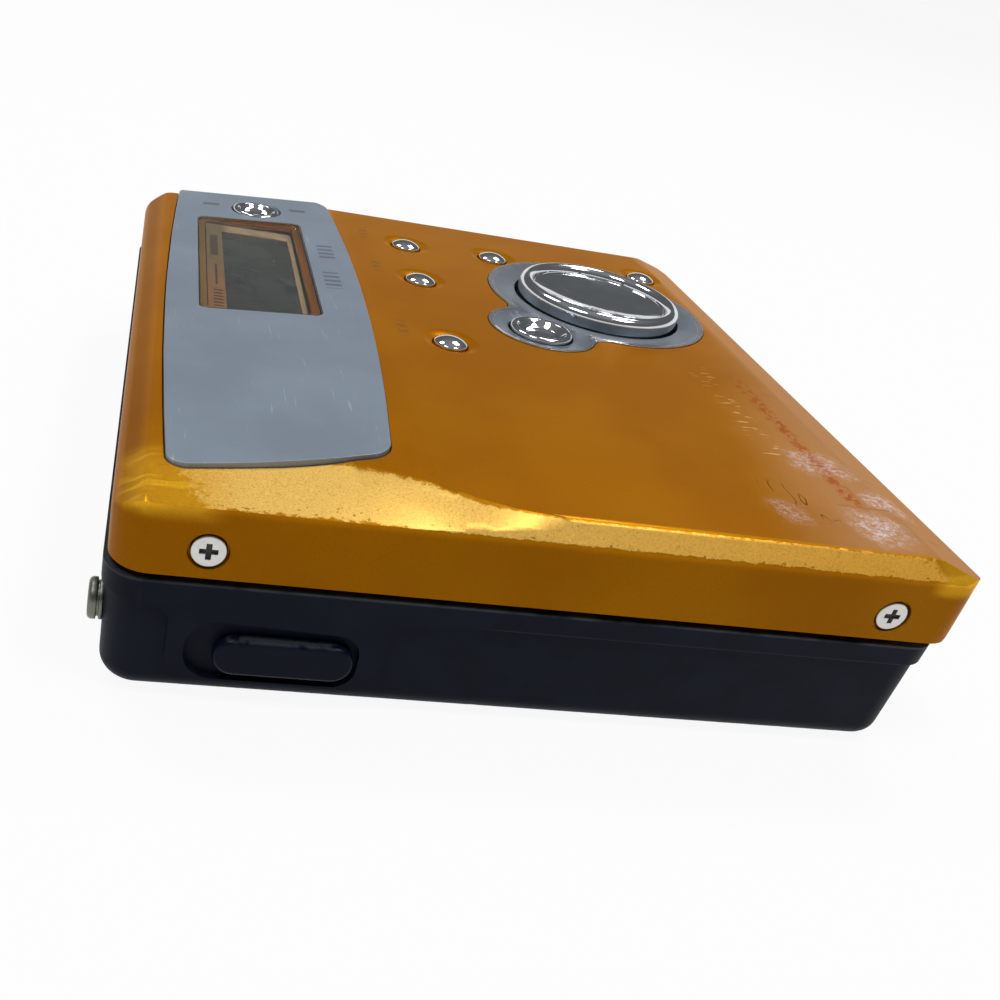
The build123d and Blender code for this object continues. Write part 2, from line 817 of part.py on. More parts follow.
def tongue():
    """Where the band dips round the release slider, as a prism through the near wall."""
    outline = rounded(
        (
            (tongue_left - 6.0, band_bottom + 1.6),
            (tongue_left - 6.0, band_bottom + 0.6),
            (tongue_left, band_bottom - 0.4),
            (tongue_left, tongue_bottom),
            (tongue_right, tongue_bottom),
            (tongue_right, band_bottom - 0.2),
            (tongue_right + 6.0, band_bottom),
            (tongue_right + 6.0, band_bottom + 1.6),
        ),
        (0, 0, 1.8, 2.4, 2.2, 2.0, 0, 0),
    )
    slab = extrude(Plane.XZ * outline, amount=far_away)
    near_wall = (-far_away, -half_depth + 2 * base_wall)
    return slab & block(through, near_wall, through)


def capsule(left, right, low, high, y):
    """A bar with round ends lying along X in the near wall, between two y values."""
    face = Pos((left + right) / 2, (low + high) / 2) * SlotOverall(right - left, high - low)
    return Pos(0, y[0], 0) * extrude(Plane.XZ * face, amount=y[0] - y[1])


def slider_scoop():
    """Recess round the slider: a round-ended pocket, dished deeper at its left end."""
    face = -half_depth
    pocket = rounded(
        (
            (scoop_left, scoop_bottom),
            (scoop_right, scoop_bottom),
            (scoop_right, scoop_top - 0.6),
            (scoop_left, scoop_top),
        ),
        (2.4, 1.9, 2.0, 2.6),
    )
    return Pos(0, face + slider_recess_depth, 0) * extrude(Plane.XZ * pocket, amount=5)


def base_housing():
    """Moulded tub: round lower edges, a proud band with a tongue, bosses and ribs."""
    body = base_form(band_step)
    above = block(through, through, (band_bottom, far_away))
    body += base_form() & (above + tongue())
    body -= base_form(base_wall, top=rim_top + 5)
    body += inner_ribs() & base_form(band_step + 0.2)
    body += rim_lip(-1) + rim_lip(1)
    body -= slider_scoop()
    stem_left = latch_tab_left - slider_travel - 0.6
    stem_y = (-far_away, -base_inner_y + 3)
    body -= block((stem_left, latch_tab_right + 0.6), stem_y, (4.0, 5.6))
    for name, x in jack_places.items():
        hole_y = (base_inner_y - 1, far_away)
        body -= rod_y(x, jack_z, jack_nose_radius + fit_gap, hole_y)
    for y in switch_places.values():
        body -= switch_slot(y)
    body -= door_opening()
    for place in base_screw_places:
        body -= post(place, screw_head_radius + screw_recess_gap, (-1, 0.9))
        body -= post(place, screw_shank_radius + 0.05, through)
    body -= rod_x(stud_y, stud_z, screw_shank_radius + 0.02, (base_left - 1, base_left + 3))
    return body


def rim_lip(side):
    """Strip inside the rim that closes the gap under the lid's near or far wall."""
    outer = lid_inner_y - lip_gap
    y = sorted((side * outer, side * (outer - lip_thickness)))
    left = -half_width + lid_wall + corner_radius
    strip = block((left, hinge_x - 3.2), y, (lip_foot, lid_bottom + lip_overlap))
    if side < 0:
        room = (latch_tab_left - slider_travel - 0.4, latch_tab_right + 0.4)
        strip -= block(room, (-far_away, 0), (0, far_away))
    return strip


def inner_ribs():
    """Bosses under the chassis, the battery bay's wall and rails, and the board's pegs."""
    ribs = block(
        (battery_left - bay_gap - bay_wall, battery_left - bay_gap),
        (bay_end - bay_wall, base_inner_y - 0.7),
        (rib_foot, 8.2),
    )
    for x in (battery_left + 2.0, battery_left + battery_width - 2.0):
        rail_y = (battery_far - battery_length, battery_far)
        ribs += block((x - 0.5, x + 0.5), rail_y, (rib_foot, battery_bottom - 0.05))
    end_x = (battery_left, battery_left + battery_width)
    ribs += block(end_x, (bay_end - bay_wall, bay_end), (rib_foot, 8.0))
    for place in base_screw_places:
        ribs += post(place, boss_radius, (rib_foot, chassis_bottom))
    for x in (board_left + 3.0, -12.0, board_right - 3.0):
        for y in (board_near + 3.0, board_far - 3.5):
            ribs += post((x, y), 1.2, (rib_foot, main_board_bottom))
    return ribs


def switch_slot(y):
    """Shallow recess and through slot for a side switch in the right-hand wall."""
    half = switch_length / 2
    shallow = block(
        (base_right - band_step - 0.9, base_right + 1),
        (y - half - switch_travel - 0.3, y + half + 0.3),
        (switch_z - switch_height / 2 - 0.3, switch_z + switch_height / 2 + 0.3),
    )
    stem = block(
        (base_right - 5, base_right + 1),
        (y - 1.0 - switch_travel - 0.3, y + 1.0 + 0.3),
        (switch_z - 0.7, switch_z + 0.7),
    )
    return shallow + stem


def side_switch(y):
    """Thumb slide with two grip ribs, a stem and a shoe behind the wall."""
    face = base_right - band_step
    inner = base_right - base_right_lean - base_wall - 0.35
    half = switch_length / 2
    low, high = switch_z - switch_height / 2, switch_z + switch_height / 2
    thumb = block((face - 0.6, face + switch_proud - 0.2), (y - half, y + half), (low, high))
    for offset_y in (-1.5, -0.5, 0.5, 1.5):
        thumb += block(
            (face, face + switch_proud),
            (y + offset_y - 0.25, y + offset_y + 0.25),
            (low + 0.3, high - 0.3),
        )
    stem = block((inner - 0.5, face - 0.5), (y - 1.0, y + 1.0), (switch_z - 0.5, switch_z + 0.5))
    shoe = block((inner - 1.0, inner - 0.4), (y - 1.8, y + 1.8), (switch_z - 1.2, switch_z + 1.2))
    return thumb + stem + shoe


def open_slider():
    """Glossy thumb bar with a domed face and a stem through the wall."""
    face = -half_depth
    bar = capsule(
        slider_left,
        slider_right,
        slider_bottom,
        slider_top,
        (face + slider_recess_depth - 0.1, face - slider_proud),
    )
    front = bar.faces().sort_by(Axis.Y)[0]
    bar = fillet(front.edges(), 0.45)
    stem = block(
        (latch_tab_left + 0.2, latch_tab_right - 0.2),
        (face + slider_recess_depth - 0.5, -latch_outer_y()),
        (4.2, 5.4),
    )
    return bar + stem


def latch_outer_y():
    """Distance of the latch plate's outer face from the middle."""
    return base_inner_y - 0.35


def latch_plate():
    """Steel plate on the slider, with a tab up into the lid and a nose over its catch."""
    y = (-latch_outer_y(), -latch_outer_y() + latch_sheet)
    plate = block((slider_left + 0.5, slider_right - 0.5), y, (3.2, 7.8))
    top = latch_nose_bottom + latch_nose_height
    plate += block((latch_tab_left, latch_tab_right), y, (7.0, top))
    nose = (latch_tab_right - 0.1, latch_tab_right + latch_nose_reach)
    plate += block(nose, y, (latch_nose_bottom, top))
    slot = capsule(-19.6, -17.4, 4.6, 6.2, (-30, -50))
    return plate - slot


def door_opening():
    """Mouth of the battery bay in the far wall, with pin holes for the door."""
    low, high = battery_bottom - 0.4, battery_bottom + battery_height + 0.5
    left = battery_left - bay_gap - bay_wall
    mouth = block((left, door_axis_x + 0.8), (base_inner_y - 1, 50), (low, high))
    pins = post((door_axis_x, door_axis_y), door_pin_radius + running_gap, (low - 0.55, high + 0.65))
    return mouth + pins


def battery_door():
    """Door over the bay, on two trunnions at its right-hand end."""
    low, high = battery_bottom - 0.4 + door_gap, battery_bottom + battery_height + 0.5 - door_gap
    left = battery_left - bay_gap - bay_wall + door_gap
    outer = half_depth - band_step - 0.05
    plate = block((left, door_axis_x), (outer - door_thickness, outer), (low, high))
    plate += post((door_axis_x, door_axis_y), 0.5, (low, high))
    plate += post((door_axis_x, door_axis_y), door_pin_radius, (low - 0.7, high + 0.7))
    grip = block((left + 1.0, left + 3.2), (outer - 0.3, outer + 1), (low + 1.5, high - 1.5))
    return plate - grip


def door_contact():
    """Spring strip inside the door that bridges the battery's far end."""
    outer = half_depth - band_step - 0.05 - door_thickness
    z = (battery_bottom + 1.6, battery_bottom + 4.4)
    strip = block((battery_left + 3, battery_left + 14), (outer - 0.3, outer), z)
    for x in (battery_left + 5.0, battery_left + 12.0):
        strip += block((x - 1.0, x + 1.0), (battery_far + 0.3, outer - 0.2), z)
    return strip


def battery():
    """Flat stick cell with round long edges and a contact button at its near end."""
    x = (battery_left, battery_left + battery_width)
    z = (battery_bottom, battery_bottom + battery_height)
    y = (battery_far - battery_length, battery_far)
    cell = block(x, y, z)
    cell = fillet(cell.edges().filter_by(Axis.Y), 1.2)
    middle = sum(x) / 2
    return cell + block((middle - 3, middle + 3), (y[0] - 0.5, y[0] + 0.1), (z[0] + 1.6, z[1] - 1.6))


def battery_contacts():
    """Two leaf contacts on the bay's end wall."""
    leaves = []
    for x in (battery_left + 4.0, battery_left + battery_width - 4.0):
        end = battery_far - battery_length
        foot = block((x - 1.4, x + 1.4), (bay_end, bay_end + 0.3), (2.4, 7.4))
        tip = block((x - 1.0, x + 1.0), (bay_end + 0.2, end - 0.75), (4.6, 4.9))
        tip += block((x - 1.0, x + 1.0), (end - 0.95, end - 0.7), (3.6, 4.9))
        leaves.append(foot + tip)
    return Compound(children=leaves)


def base_screws():
    """Four screws from the underside, through the bosses into the chassis."""
    length = chassis_bottom - 0.4
    solids = []
    for x, y in base_screw_places:
        solids.append(Pos(x, y, 0.42) * Rot(180, 0, 0) * screw(length))
    return Compound(children=solids)


def side_stud():
    """Round metal stud in the left wall, with a waist and a driver slot."""
    wall = base_left + band_step
    head = rod_x(stud_y, stud_z, stud_radius, (wall - stud_height, wall))
    head = fillet(head.faces().sort_by(Axis.X)[0].edges(), 0.4)
    groove = rod_x(stud_y, stud_z, stud_radius + 1, (wall - 0.5, wall - 0.3))
    groove -= rod_x(stud_y, stud_z, stud_radius - 0.25, (wall - 1, wall))
    shank = rod_x(stud_y, stud_z, screw_shank_radius, (wall - 0.1, wall + 1.6))
    slot = Pos(wall - stud_height, stud_y, stud_z) * Rot(0, -90, 0) * cross_slot(driver_slot_depth)
    return head - groove + shank - slot


# ---------------------------------------------------------------- chassis and drive
def chassis_plate():
    """Pressed steel deck with hinge ears, rod lugs and the cartridge's locating pins."""
    z = (chassis_bottom, chassis_top)
    left, right = cartridge_left + 0.6, hinge_x - 0.3
    deck = in_plan(left, right, -ear_outer_y, ear_outer_y, 2.4, z)
    deck -= post((spindle_x, 0), 6.2, through)
    slot_half = lens_radius + 0.9
    deck -= block(
        (spindle_x - slot_half, spindle_x + slot_half),
        (lens_y - sled_travel - slot_half, lens_y + slot_half),
        through,
    )
    latch_room = (slider_left - 2.6, slider_right + 1)
    deck -= block(latch_room, (-far_away, -base_inner_y + 1.3), (0, far_away))
    for side in (-1, 1):
        deck += hinge_ear(side)
    for y in (rod_near - 0.1, rod_far - lug_thickness + 0.1):
        for x in (screw_x, guide_x):
            deck += block((x - 1.3, x + 1.3), (y, y + lug_thickness), (rod_z, chassis_top))
            deck += rod_y(x, rod_z, 1.3, (y, y + lug_thickness))
    far = (rod_near - 1, rod_far + 1)
    deck -= rod_y(screw_x, rod_z, lead_screw_radius + running_gap - 0.3, far)
    deck -= rod_y(guide_x, rod_z, guide_rod_radius, far)
    for x in (cartridge_left + 10.8, cartridge_right - 11.2):
        for y in (6.0 - cartridge_width / 2, cartridge_width / 2 - 6.0):
            deck += post((x, y), 1.5, (chassis_bottom, cartridge_bottom - disc_gap))
            if x < 0:
                deck += post((x, y), 0.75, (chassis_bottom, cartridge_bottom + 0.7))
    for place in base_screw_places:
        deck -= post(place, screw_shank_radius, through)
    return deck


def hinge_ear(side):
    """Arm that leans out from the deck to the hinge pin."""
    reach = ear_radius * sqrt(0.5)
    foot = hinge_z - chassis_bottom
    outline = make_face(
        Polyline(
            (hinge_x - reach, hinge_z + reach),
            (hinge_x + reach, hinge_z - reach),
            (hinge_x + 2 * reach - foot, chassis_bottom),
            (hinge_x - 2 * reach - foot, chassis_bottom),
            close=True,
        )
    )
    y = sorted((side * ear_inner_y, side * ear_outer_y))
    arm = Pos(0, y[0], 0) * extrude(Plane.XZ * outline, amount=-chassis_sheet)
    arm += rod_y(hinge_x, hinge_z, ear_radius, y)
    return arm - rod_y(hinge_x, hinge_z, pin_radius, y)


def spindle_motor():
    """Flat brushless motor under the deck, with its mounting flange and bearing bore."""
    place = (spindle_x, 0)
    can = post(place, motor_radius, (motor_bottom, chassis_bottom - 0.6))
    can = fillet(can.faces().sort_by(Axis.Z)[0].edges(), 0.8)
    can += post(place, motor_radius + 0.3, (chassis_bottom - 0.7, chassis_bottom))
    return can - post(place, 1.0 + running_gap, (motor_bottom + 0.8, 20))


def turntable():
    """Disc seat with a centring cone on the motor's shaft."""
    place = (spindle_x, 0)
    plate = post(place, 5.4, (chassis_bottom + 0.25, cartridge_bottom - 0.1))
    plate -= post(place, 4.6, (cartridge_bottom - 0.35, 20))
    hub = Pos(*place, chassis_bottom + 0.3) * Cone(
        2.6, 1.9, 1.9, align=(Align.CENTER, Align.CENTER, Align.MIN)
    )
    shaft = post(place, 1.0, (motor_bottom + 1.2, chassis_top))
    return plate + hub + shaft


def pickup_sled():
    """Optical carriage: a bridge on two rods, with a raised lens housing."""
    y = (sled_home_near, sled_home_far)
    left, right = screw_x - 2.0, guide_x + 1.7
    body = block((left, right), y, (sled_bottom, rod_z + 1.9))
    body += block((spindle_x - 5.5, spindle_x + 5.5), y, (sled_bottom, sled_top))
    body = fillet(body.edges().filter_by(Axis.Z), 0.8)
    window = post((spindle_x, lens_y), lens_radius + 0.5, (sled_top - 1.2, sled_top + 1))
    body -= window
    body -= rod_y(screw_x, rod_z, lead_screw_radius + running_gap, (y[0] - 1, y[1] + 1))
    body -= rod_y(guide_x, rod_z, guide_rod_radius + running_gap, (y[0] - 1, y[1] + 1))
    body -= block((left - 1, screw_x - 0.6), (y[0] + 2.4, y[1] - 2.4), through)
    return body


def objective_lens():
    """Small aspheric lens in a round holder that rises through the deck's slot."""
    place = (spindle_x, lens_y)
    seat = sled_top - 1.2
    barrel = post(place, lens_radius, (seat, lens_top - 0.5))
    ball = 3.2
    glass = post(place, 1.5, (seat, lens_top)) & (Pos(*place, lens_top - ball) * Sphere(ball))
    return barrel + glass


def lead_screw():
    """Screw that drives the sled, with thin journals in the deck's lugs."""
    inner_near = rod_near - 0.1 + lug_thickness + 0.1
    inner_far = rod_far - lug_thickness
    thick = rod_y(screw_x, rod_z, lead_screw_radius, (inner_near, inner_far))
    journal = lead_screw_radius - 0.3
    return thick + rod_y(screw_x, rod_z, journal, (rod_near, rod_far + 0.4))


def guide_rod():
    """Plain steel rod fixed in the deck's lugs."""
    return rod_y(guide_x, rod_z, guide_rod_radius, (rod_near, rod_far + 0.3))


def spur_outline(teeth, phase):
    """Stub-tooth gear outline: each tooth is two flanks and a flat tip, from a formula."""
    pitch = gear_module * teeth / 2
    root, tip = pitch - gear_module * 1.05, pitch + gear_module * 0.75
    step = 2 * pi / teeth
    half_tooth = step / 4 - gear_backlash / (2 * pitch)
    points = []
    for index in range(teeth):
        middle = index * step + phase
        for radius, half in ((root, half_tooth * 1.75), (tip, half_tooth * 0.55)):
            points.append((radius, middle - half))
        for radius, half in ((tip, half_tooth * 0.55), (root, half_tooth * 1.75)):
            points.append((radius, middle + half))
    ring = [(r * cos(a), r * sin(a)) for r, a in points]
    return make_face(Polyline(*ring, close=True))


def gear_at(x, teeth, phase, bore):
    """A spur gear with its axis along Y."""
    face = spur_outline(teeth, phase) - Circle(bore)
    wheel = Pos(x, gear_near, rod_z) * extrude(Plane.XZ * face, amount=-gear_face)
    return wheel


def screw_gear():
    """Wheel on the lead screw. A tooth faces the pinion."""
    return gear_at(screw_x, gear_teeth, 0.0, lead_screw_radius)


def motor_pinion():
    """Pinion on the sled motor's shaft. A gap faces the wheel."""
    shaft = rod_y(pinion_x, rod_z, 0.4, (gear_near - 0.3, rod_far + 1.6))
    return gear_at(pinion_x, pinion_teeth, pi / pinion_teeth, 0.35) + shaft


def sled_motor():
    """Small can motor hung under the deck beside the lead screw."""
    near = rod_far + 0.8
    can = rod_y(pinion_x, rod_z, sled_motor_radius, (near, near + sled_motor_length))
    can += block(
        (pinion_x - 1.6, pinion_x + 1.6), (near + 1, near + 11), (rod_z, chassis_bottom)
    )
    return can - rod_y(pinion_x, rod_z, 0.4 + running_gap, (near - 1, near + 3))


# ---------------------------------------------------------------- board and jacks
def main_board():
    """Printed board on pegs at the far left, with two chips."""
    top = main_board_bottom + 0.8
    board = block((board_left, board_right), (board_near, board_far), (main_board_bottom, top))
    board += block((-10.0, 0.0), (12.0, 21.0), (top, top + 1.1))
    board += block((2.0, 8.0), (13.0, 22.0), (top, top + 0.9))
    return board


def jack(name):
    """Socket with a round nose in the far wall and a blind bore for its plug."""
    x = jack_places[name]
    wide, long, high = jack_block
    face = half_depth - band_step
    back = base_inner_y - 0.2
    block_z = (jack_z - high / 2, jack_z + high / 2)
    body = block((x - wide / 2, x + wide / 2), (back - long, back), block_z)
    body += rod_y(x, jack_z, jack_nose_radius, (back - 0.5, face + 0.2))
    return body - rod_y(x, jack_z, jack_bores[name], (face - jack_bore_depth, face + 1))


def all_parts():
    """Every sub-part by its node name."""
    parts = {
        "lid_shell": lid_shell(),
        "display_panel": display_panel(),
        "display_window": display_window(),
        "lcd_module": lcd_module(),
        "control_bezel": control_bezel(),
        "lid_frame": lid_frame(),
        "key_board": key_board(),
        "key_sheet": key_sheet(),
        "lid_screws": lid_screws(),
        "gimbal_bracket": gimbal_bracket(),
        "gimbal_ring": gimbal_ring(),
        "control_disc": control_disc(),
        "ring_key": ring_key(),
        "panel_key": panel_key(),
        "disc_holder": disc_holder(),
        "hinge_pins": hinge_pins(),
        "open_slider": open_slider(),
        "latch_plate": latch_plate(),
        "base_housing": base_housing(),
        "chassis_plate": chassis_plate(),
        "spindle_motor": spindle_motor(),
        "turntable": turntable(),
        "pickup_sled": pickup_sled(),
        "objective_lens": objective_lens(),
        "lead_screw": lead_screw(),
        "screw_gear": screw_gear(),
        "motor_pinion": motor_pinion(),
        "guide_rod": guide_rod(),
        "sled_motor": sled_motor(),
        "main_board": main_board(),
        "battery": battery(),
        "battery_contacts": battery_contacts(),
        "battery_door": battery_door(),
        "door_contact": door_contact(),
        "base_screws": base_screws(),
        "side_stud": side_stud(),
    }
    for number, place in enumerate(key_places, start=1):
        parts[f"key_{number}"] = dome_key(place)
    for name in jack_places:
        parts[name] = jack(name)
    for name, y in switch_places.items():
        parts[name] = side_switch(y)
    return parts


os.makedirs("parts", exist_ok=True)
for node, shape in all_parts().items():
    export_step(shape, f"parts/{node}.step")
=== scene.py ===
from math import radians

import bpy
from mathutils import Matrix, Vector


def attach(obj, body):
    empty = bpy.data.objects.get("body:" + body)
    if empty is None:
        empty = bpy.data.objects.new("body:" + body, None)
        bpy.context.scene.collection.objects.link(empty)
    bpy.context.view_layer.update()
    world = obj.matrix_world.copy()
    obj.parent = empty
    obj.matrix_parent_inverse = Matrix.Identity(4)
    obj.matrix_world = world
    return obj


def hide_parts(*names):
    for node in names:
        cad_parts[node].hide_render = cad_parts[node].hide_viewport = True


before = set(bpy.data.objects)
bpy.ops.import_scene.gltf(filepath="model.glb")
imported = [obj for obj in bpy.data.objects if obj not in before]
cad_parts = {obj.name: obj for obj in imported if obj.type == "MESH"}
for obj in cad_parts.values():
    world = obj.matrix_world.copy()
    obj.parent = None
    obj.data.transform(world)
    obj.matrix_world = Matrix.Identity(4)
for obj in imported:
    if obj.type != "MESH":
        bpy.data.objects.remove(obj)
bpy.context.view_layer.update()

# ---------------------------------------------------------------- table, light and camera
# The player lies on a pale round table with a high rim, under four soft panels in a square
# overhead. The camera stands low over the near left corner.


class Signal:
    """A shader socket. Arithmetic on it adds Math nodes to its tree."""

    def __init__(self, tree, socket):
        self.tree = tree
        self.socket = socket

    def math(self, operation, *values):
        worked = self.tree.nodes.new("ShaderNodeMath")
        worked.operation = operation
        for pin, value in zip(worked.inputs, values):
            feed(self.tree, pin, value)
        return Signal(self.tree, worked.outputs[0])

    def __add__(self, other):
        return self.math("ADD", self, other)

    def __sub__(self, other):
        return self.math("SUBTRACT", self, other)

    def __rsub__(self, other):
        return self.math("SUBTRACT", other, self)

    def __mul__(self, other):
        return self.math("MULTIPLY", self, other)

    def __truediv__(self, other):
        return self.math("DIVIDE", self, other)

    def __pow__(self, other):
        return self.math("POWER", self, other)

    __radd__ = __add__
    __rmul__ = __mul__

    def at_least(self, other):
        return self.math("MAXIMUM", self, other)

    def at_most(self, other):
        return self.math("MINIMUM", self, other)

    def size(self):
        return self.math("ABSOLUTE", self)

    def fraction(self):
        return self.math("FRACT", self)


def feed(tree, pin, value):
    """Links a signal to an input, or sets the input to a plain value."""
    if isinstance(value, Signal):
        tree.links.new(value.socket, pin)
        return
    if hasattr(pin.default_value, "__len__") and len(pin.default_value) == 4:
        value = (*value, 1.0)
    pin.default_value = value


class Finish:
    """A material or world, and one method that adds any node to its tree."""

    def __init__(self, owner):
        owner.use_nodes = True
        self.owner = owner
        self.tree = owner.node_tree
        self.tree.nodes.clear()

    def node(self, kind, settings=None, stops=None, out=0, **values):
        made = self.tree.nodes.new("ShaderNode" + kind)
        for name, value in (settings or {}).items():
            setattr(made, name, value)
        if stops:
            ramp = made.color_ramp.elements
            ramp[0].position, ramp[0].color = stops[0][0], (*stops[0][1], 1.0)
            ramp[1].position, ramp[1].color = stops[-1][0], (*stops[-1][1], 1.0)
            for position, colour in stops[1:-1]:
                ramp.new(position).color = (*colour, 1.0)
        for name, value in values.items():
            wanted = name.replace("_", " ")
            pin = next(p for p in made.inputs if p.enabled and p.name.lower() == wanted)
            feed(self.tree, pin, value)
        shown = [s for s in made.outputs if s.enabled]
        if out == "all":
            return [Signal(self.tree, s) for s in shown]
        return Signal(self.tree, shown[out])

    def place(self, turn=(0, 0, 0), stretch=(1, 1, 1)):
        """The point on the piece in metres, in the player's frame, turned and stretched."""
        point = self.node("TexCoord", out=3)
        if turn == (0, 0, 0) and stretch == (1, 1, 1):
            return point
        return self.node("Mapping", vector=point, rotation=turn, scale=stretch)

    def millimetres(self):
        """X, Y and Z of the point on the piece, in millimetres."""
        return [part * 1000.0 for part in self.node("SeparateXYZ", out="all", vector=self.place())]

    def facing(self):
        """X, Y and Z of the surface normal."""
        return self.node("SeparateXYZ", out="all", vector=self.node("TexCoord", out=1))

    def noise(self, scale, detail=2.0, roughness=0.5, turn=(0, 0, 0), stretch=(1, 1, 1)):
        """Cloudy values about 0.5, with scale in repeats to the metre."""
        vector = self.place(turn, stretch)
        return self.node("TexNoise", vector=vector, scale=scale, detail=detail, roughness=roughness)

    def rise(self, value, low, high):
        """0 below low, 1 above high and smooth between. High may be the lower number."""
        settings = {"interpolation_type": "SMOOTHSTEP"}
        if low < high:
            return self.node("MapRange", settings, value=value, from_min=low, from_max=high)
        return 1.0 - self.node("MapRange", settings, value=value, from_min=high, from_max=low)

    def span(self, value, start, stop):
        """1 between two soft edges, each given by the two values that it lies between."""
        return self.rise(value, *start) * self.rise(value, stop[1], stop[0])

    def bar(self, value, centre, half, soft=0.06):
        """1 where the value is within half of the centre, 0 outside it."""
        return self.rise((value - centre).size(), half + soft, half - soft)

    def spot(self, x, y, centre, inner, outer):
        """1 within a round spot on the ground plan, 0 outside it."""
        away = ((x - centre[0]) ** 2.0 + (y - centre[1]) ** 2.0) ** 0.5
        return self.rise(away, outer, inner)

    def mix(self, amount, low, high):
        """A colour between two."""
        return self.node("Mix", {"data_type": "RGBA"}, factor=amount, a=low, b=high)

    def shade(self, colour, amount):
        """A colour made lighter or darker by a factor."""
        grey = self.node("CombineColor", red=amount, green=amount, blue=amount)
        settings = {"data_type": "RGBA", "blend_type": "MULTIPLY"}
        return self.node("Mix", settings, factor=1.0, a=colour, b=grey)

    def relief(self, height, distance, strength=1.0):
        """A surface normal from a height. Distance is the relief in metres."""
        return self.node("Bump", strength=strength, distance=distance, height=height)

    def coat(self, **values):
        """Ends the material in a Principled shader with these values."""
        out = self.tree.nodes.new("ShaderNodeOutputMaterial")
        feed(self.tree, out.inputs["Surface"], self.node("BsdfPrincipled", **values))
        return self.owner


def finish(name):
    """A new empty material."""
    return Finish(bpy.data.materials.new(name))


scene = bpy.context.scene
scene.view_settings.view_transform = "Standard"

eye = Vector((-0.034846, -0.106963, 0.058128))
look_right = Vector((0.97667, -0.11082, 0.18394))
look_down = Vector((0.09141, -0.56056, -0.82306))
look_ahead = Vector((0.19432, 0.82067, -0.53735))
camera = bpy.data.objects.new("camera", bpy.data.cameras.new("camera"))
scene.collection.objects.link(camera)
scene.camera = camera
turn = Matrix((look_right, -look_down, -look_ahead)).transposed()
camera.matrix_world = Matrix.Translation(eye) @ turn.to_4x4()
camera.data.sensor_width = 36.0
camera.data.lens = 39.661
camera.data.shift_x = 0.1598
camera.data.shift_y = 0.0706
camera.data.clip_start = 0.005

lamp_aim = Vector((0, 0, 0.01))
lamp_height = 0.80
lamp_size = 0.22
lamp_power = 1.95
for name, lamp_x, lamp_y in (
    ("lamp_far_left", -0.30, 0.42),
    ("lamp_far_right", 0.34, 0.40),
    ("lamp_near_left", -0.30, -0.18),
    ("lamp_near_right", 0.34, -0.20),
):
    glow = bpy.data.lights.new(name, "AREA")
    glow.shape = "SQUARE"
    glow.size = lamp_size
    glow.energy = lamp_power
    lamp = bpy.data.objects.new(name, glow)
    scene.collection.objects.link(lamp)
    lamp.location = (lamp_x, lamp_y, lamp_height)
    lamp.rotation_euler = (lamp_aim - lamp.location).to_track_quat("-Z", "Y").to_euler()

sky_stops = (
    (0.0, (0.5, 0.5, 0.5)),
    (0.2, (0.12, 0.125, 0.13)),
    (0.6, (0.13, 0.135, 0.14)),
    (1.0, (0.28, 0.28, 0.28)),
)
sky = Finish(bpy.data.worlds.new("studio"))
scene.world = sky.owner
sky_height = sky.node("SeparateXYZ", out="all", vector=sky.node("TexCoord", out=0))[2]
sky_grey = sky.node("ValToRGB", stops=sky_stops, fac=sky_height)
lit = sky.node("Background", color=sky_grey, strength=1.0)
feed(sky.tree, sky.tree.nodes.new("ShaderNodeOutputWorld").inputs["Surface"], lit)

table_radius = 4.0
rim_height = 0.95
bpy.ops.object.select_all(action="DESELECT")
bpy.ops.mesh.primitive_circle_add(vertices=96, radius=table_radius, fill_type="NGON")
table = bpy.context.object
table.name = "table"
bpy.ops.object.mode_set(mode="EDIT")
bpy.ops.mesh.select_mode(type="EDGE")
bpy.ops.mesh.extrude_edges_move(TRANSFORM_OT_translate={"value": (0, 0, rim_height)})
bpy.ops.object.mode_set(mode="OBJECT")

# The camera, glossy and transmission rays see the table nearly white. It stays matt grey
# to all others, and its share of the matt keeps the player's shadow.
whitened = 0.92
pale = finish("pale_table")
camera_ray, _, _, glossy_ray, _, _, transmission_ray = pale.node("LightPath", out="all")[:7]
seen = (camera_ray + glossy_ray + transmission_ray).at_most(1.0)
matt = pale.node("BsdfPrincipled", base_color=(0.86, 0.86, 0.86), roughness=0.8)
white = pale.node("Emission", color=(1, 1, 1), strength=1.0)
shaded = pale.tree.nodes.new("ShaderNodeMixShader")
for pin, value in zip(shaded.inputs, (seen * whitened, matt, white)):
    feed(pale.tree, pin, value)
surface = pale.tree.nodes.new("ShaderNodeOutputMaterial").inputs["Surface"]
feed(pale.tree, surface, Signal(pale.tree, shaded.outputs[0]))
table.data.materials.append(pale.owner)

# ---------------------------------------------------------------- base housing
# A tub moulded in navy plastic with a fine spark-eroded grain. A band round the rim stands
# proud and dips as a tongue round the release slider. Its edges carry a painted highlight.


weld_distance = 0.000002
flat_within = radians(0.6)
sharp_from = radians(28.0)


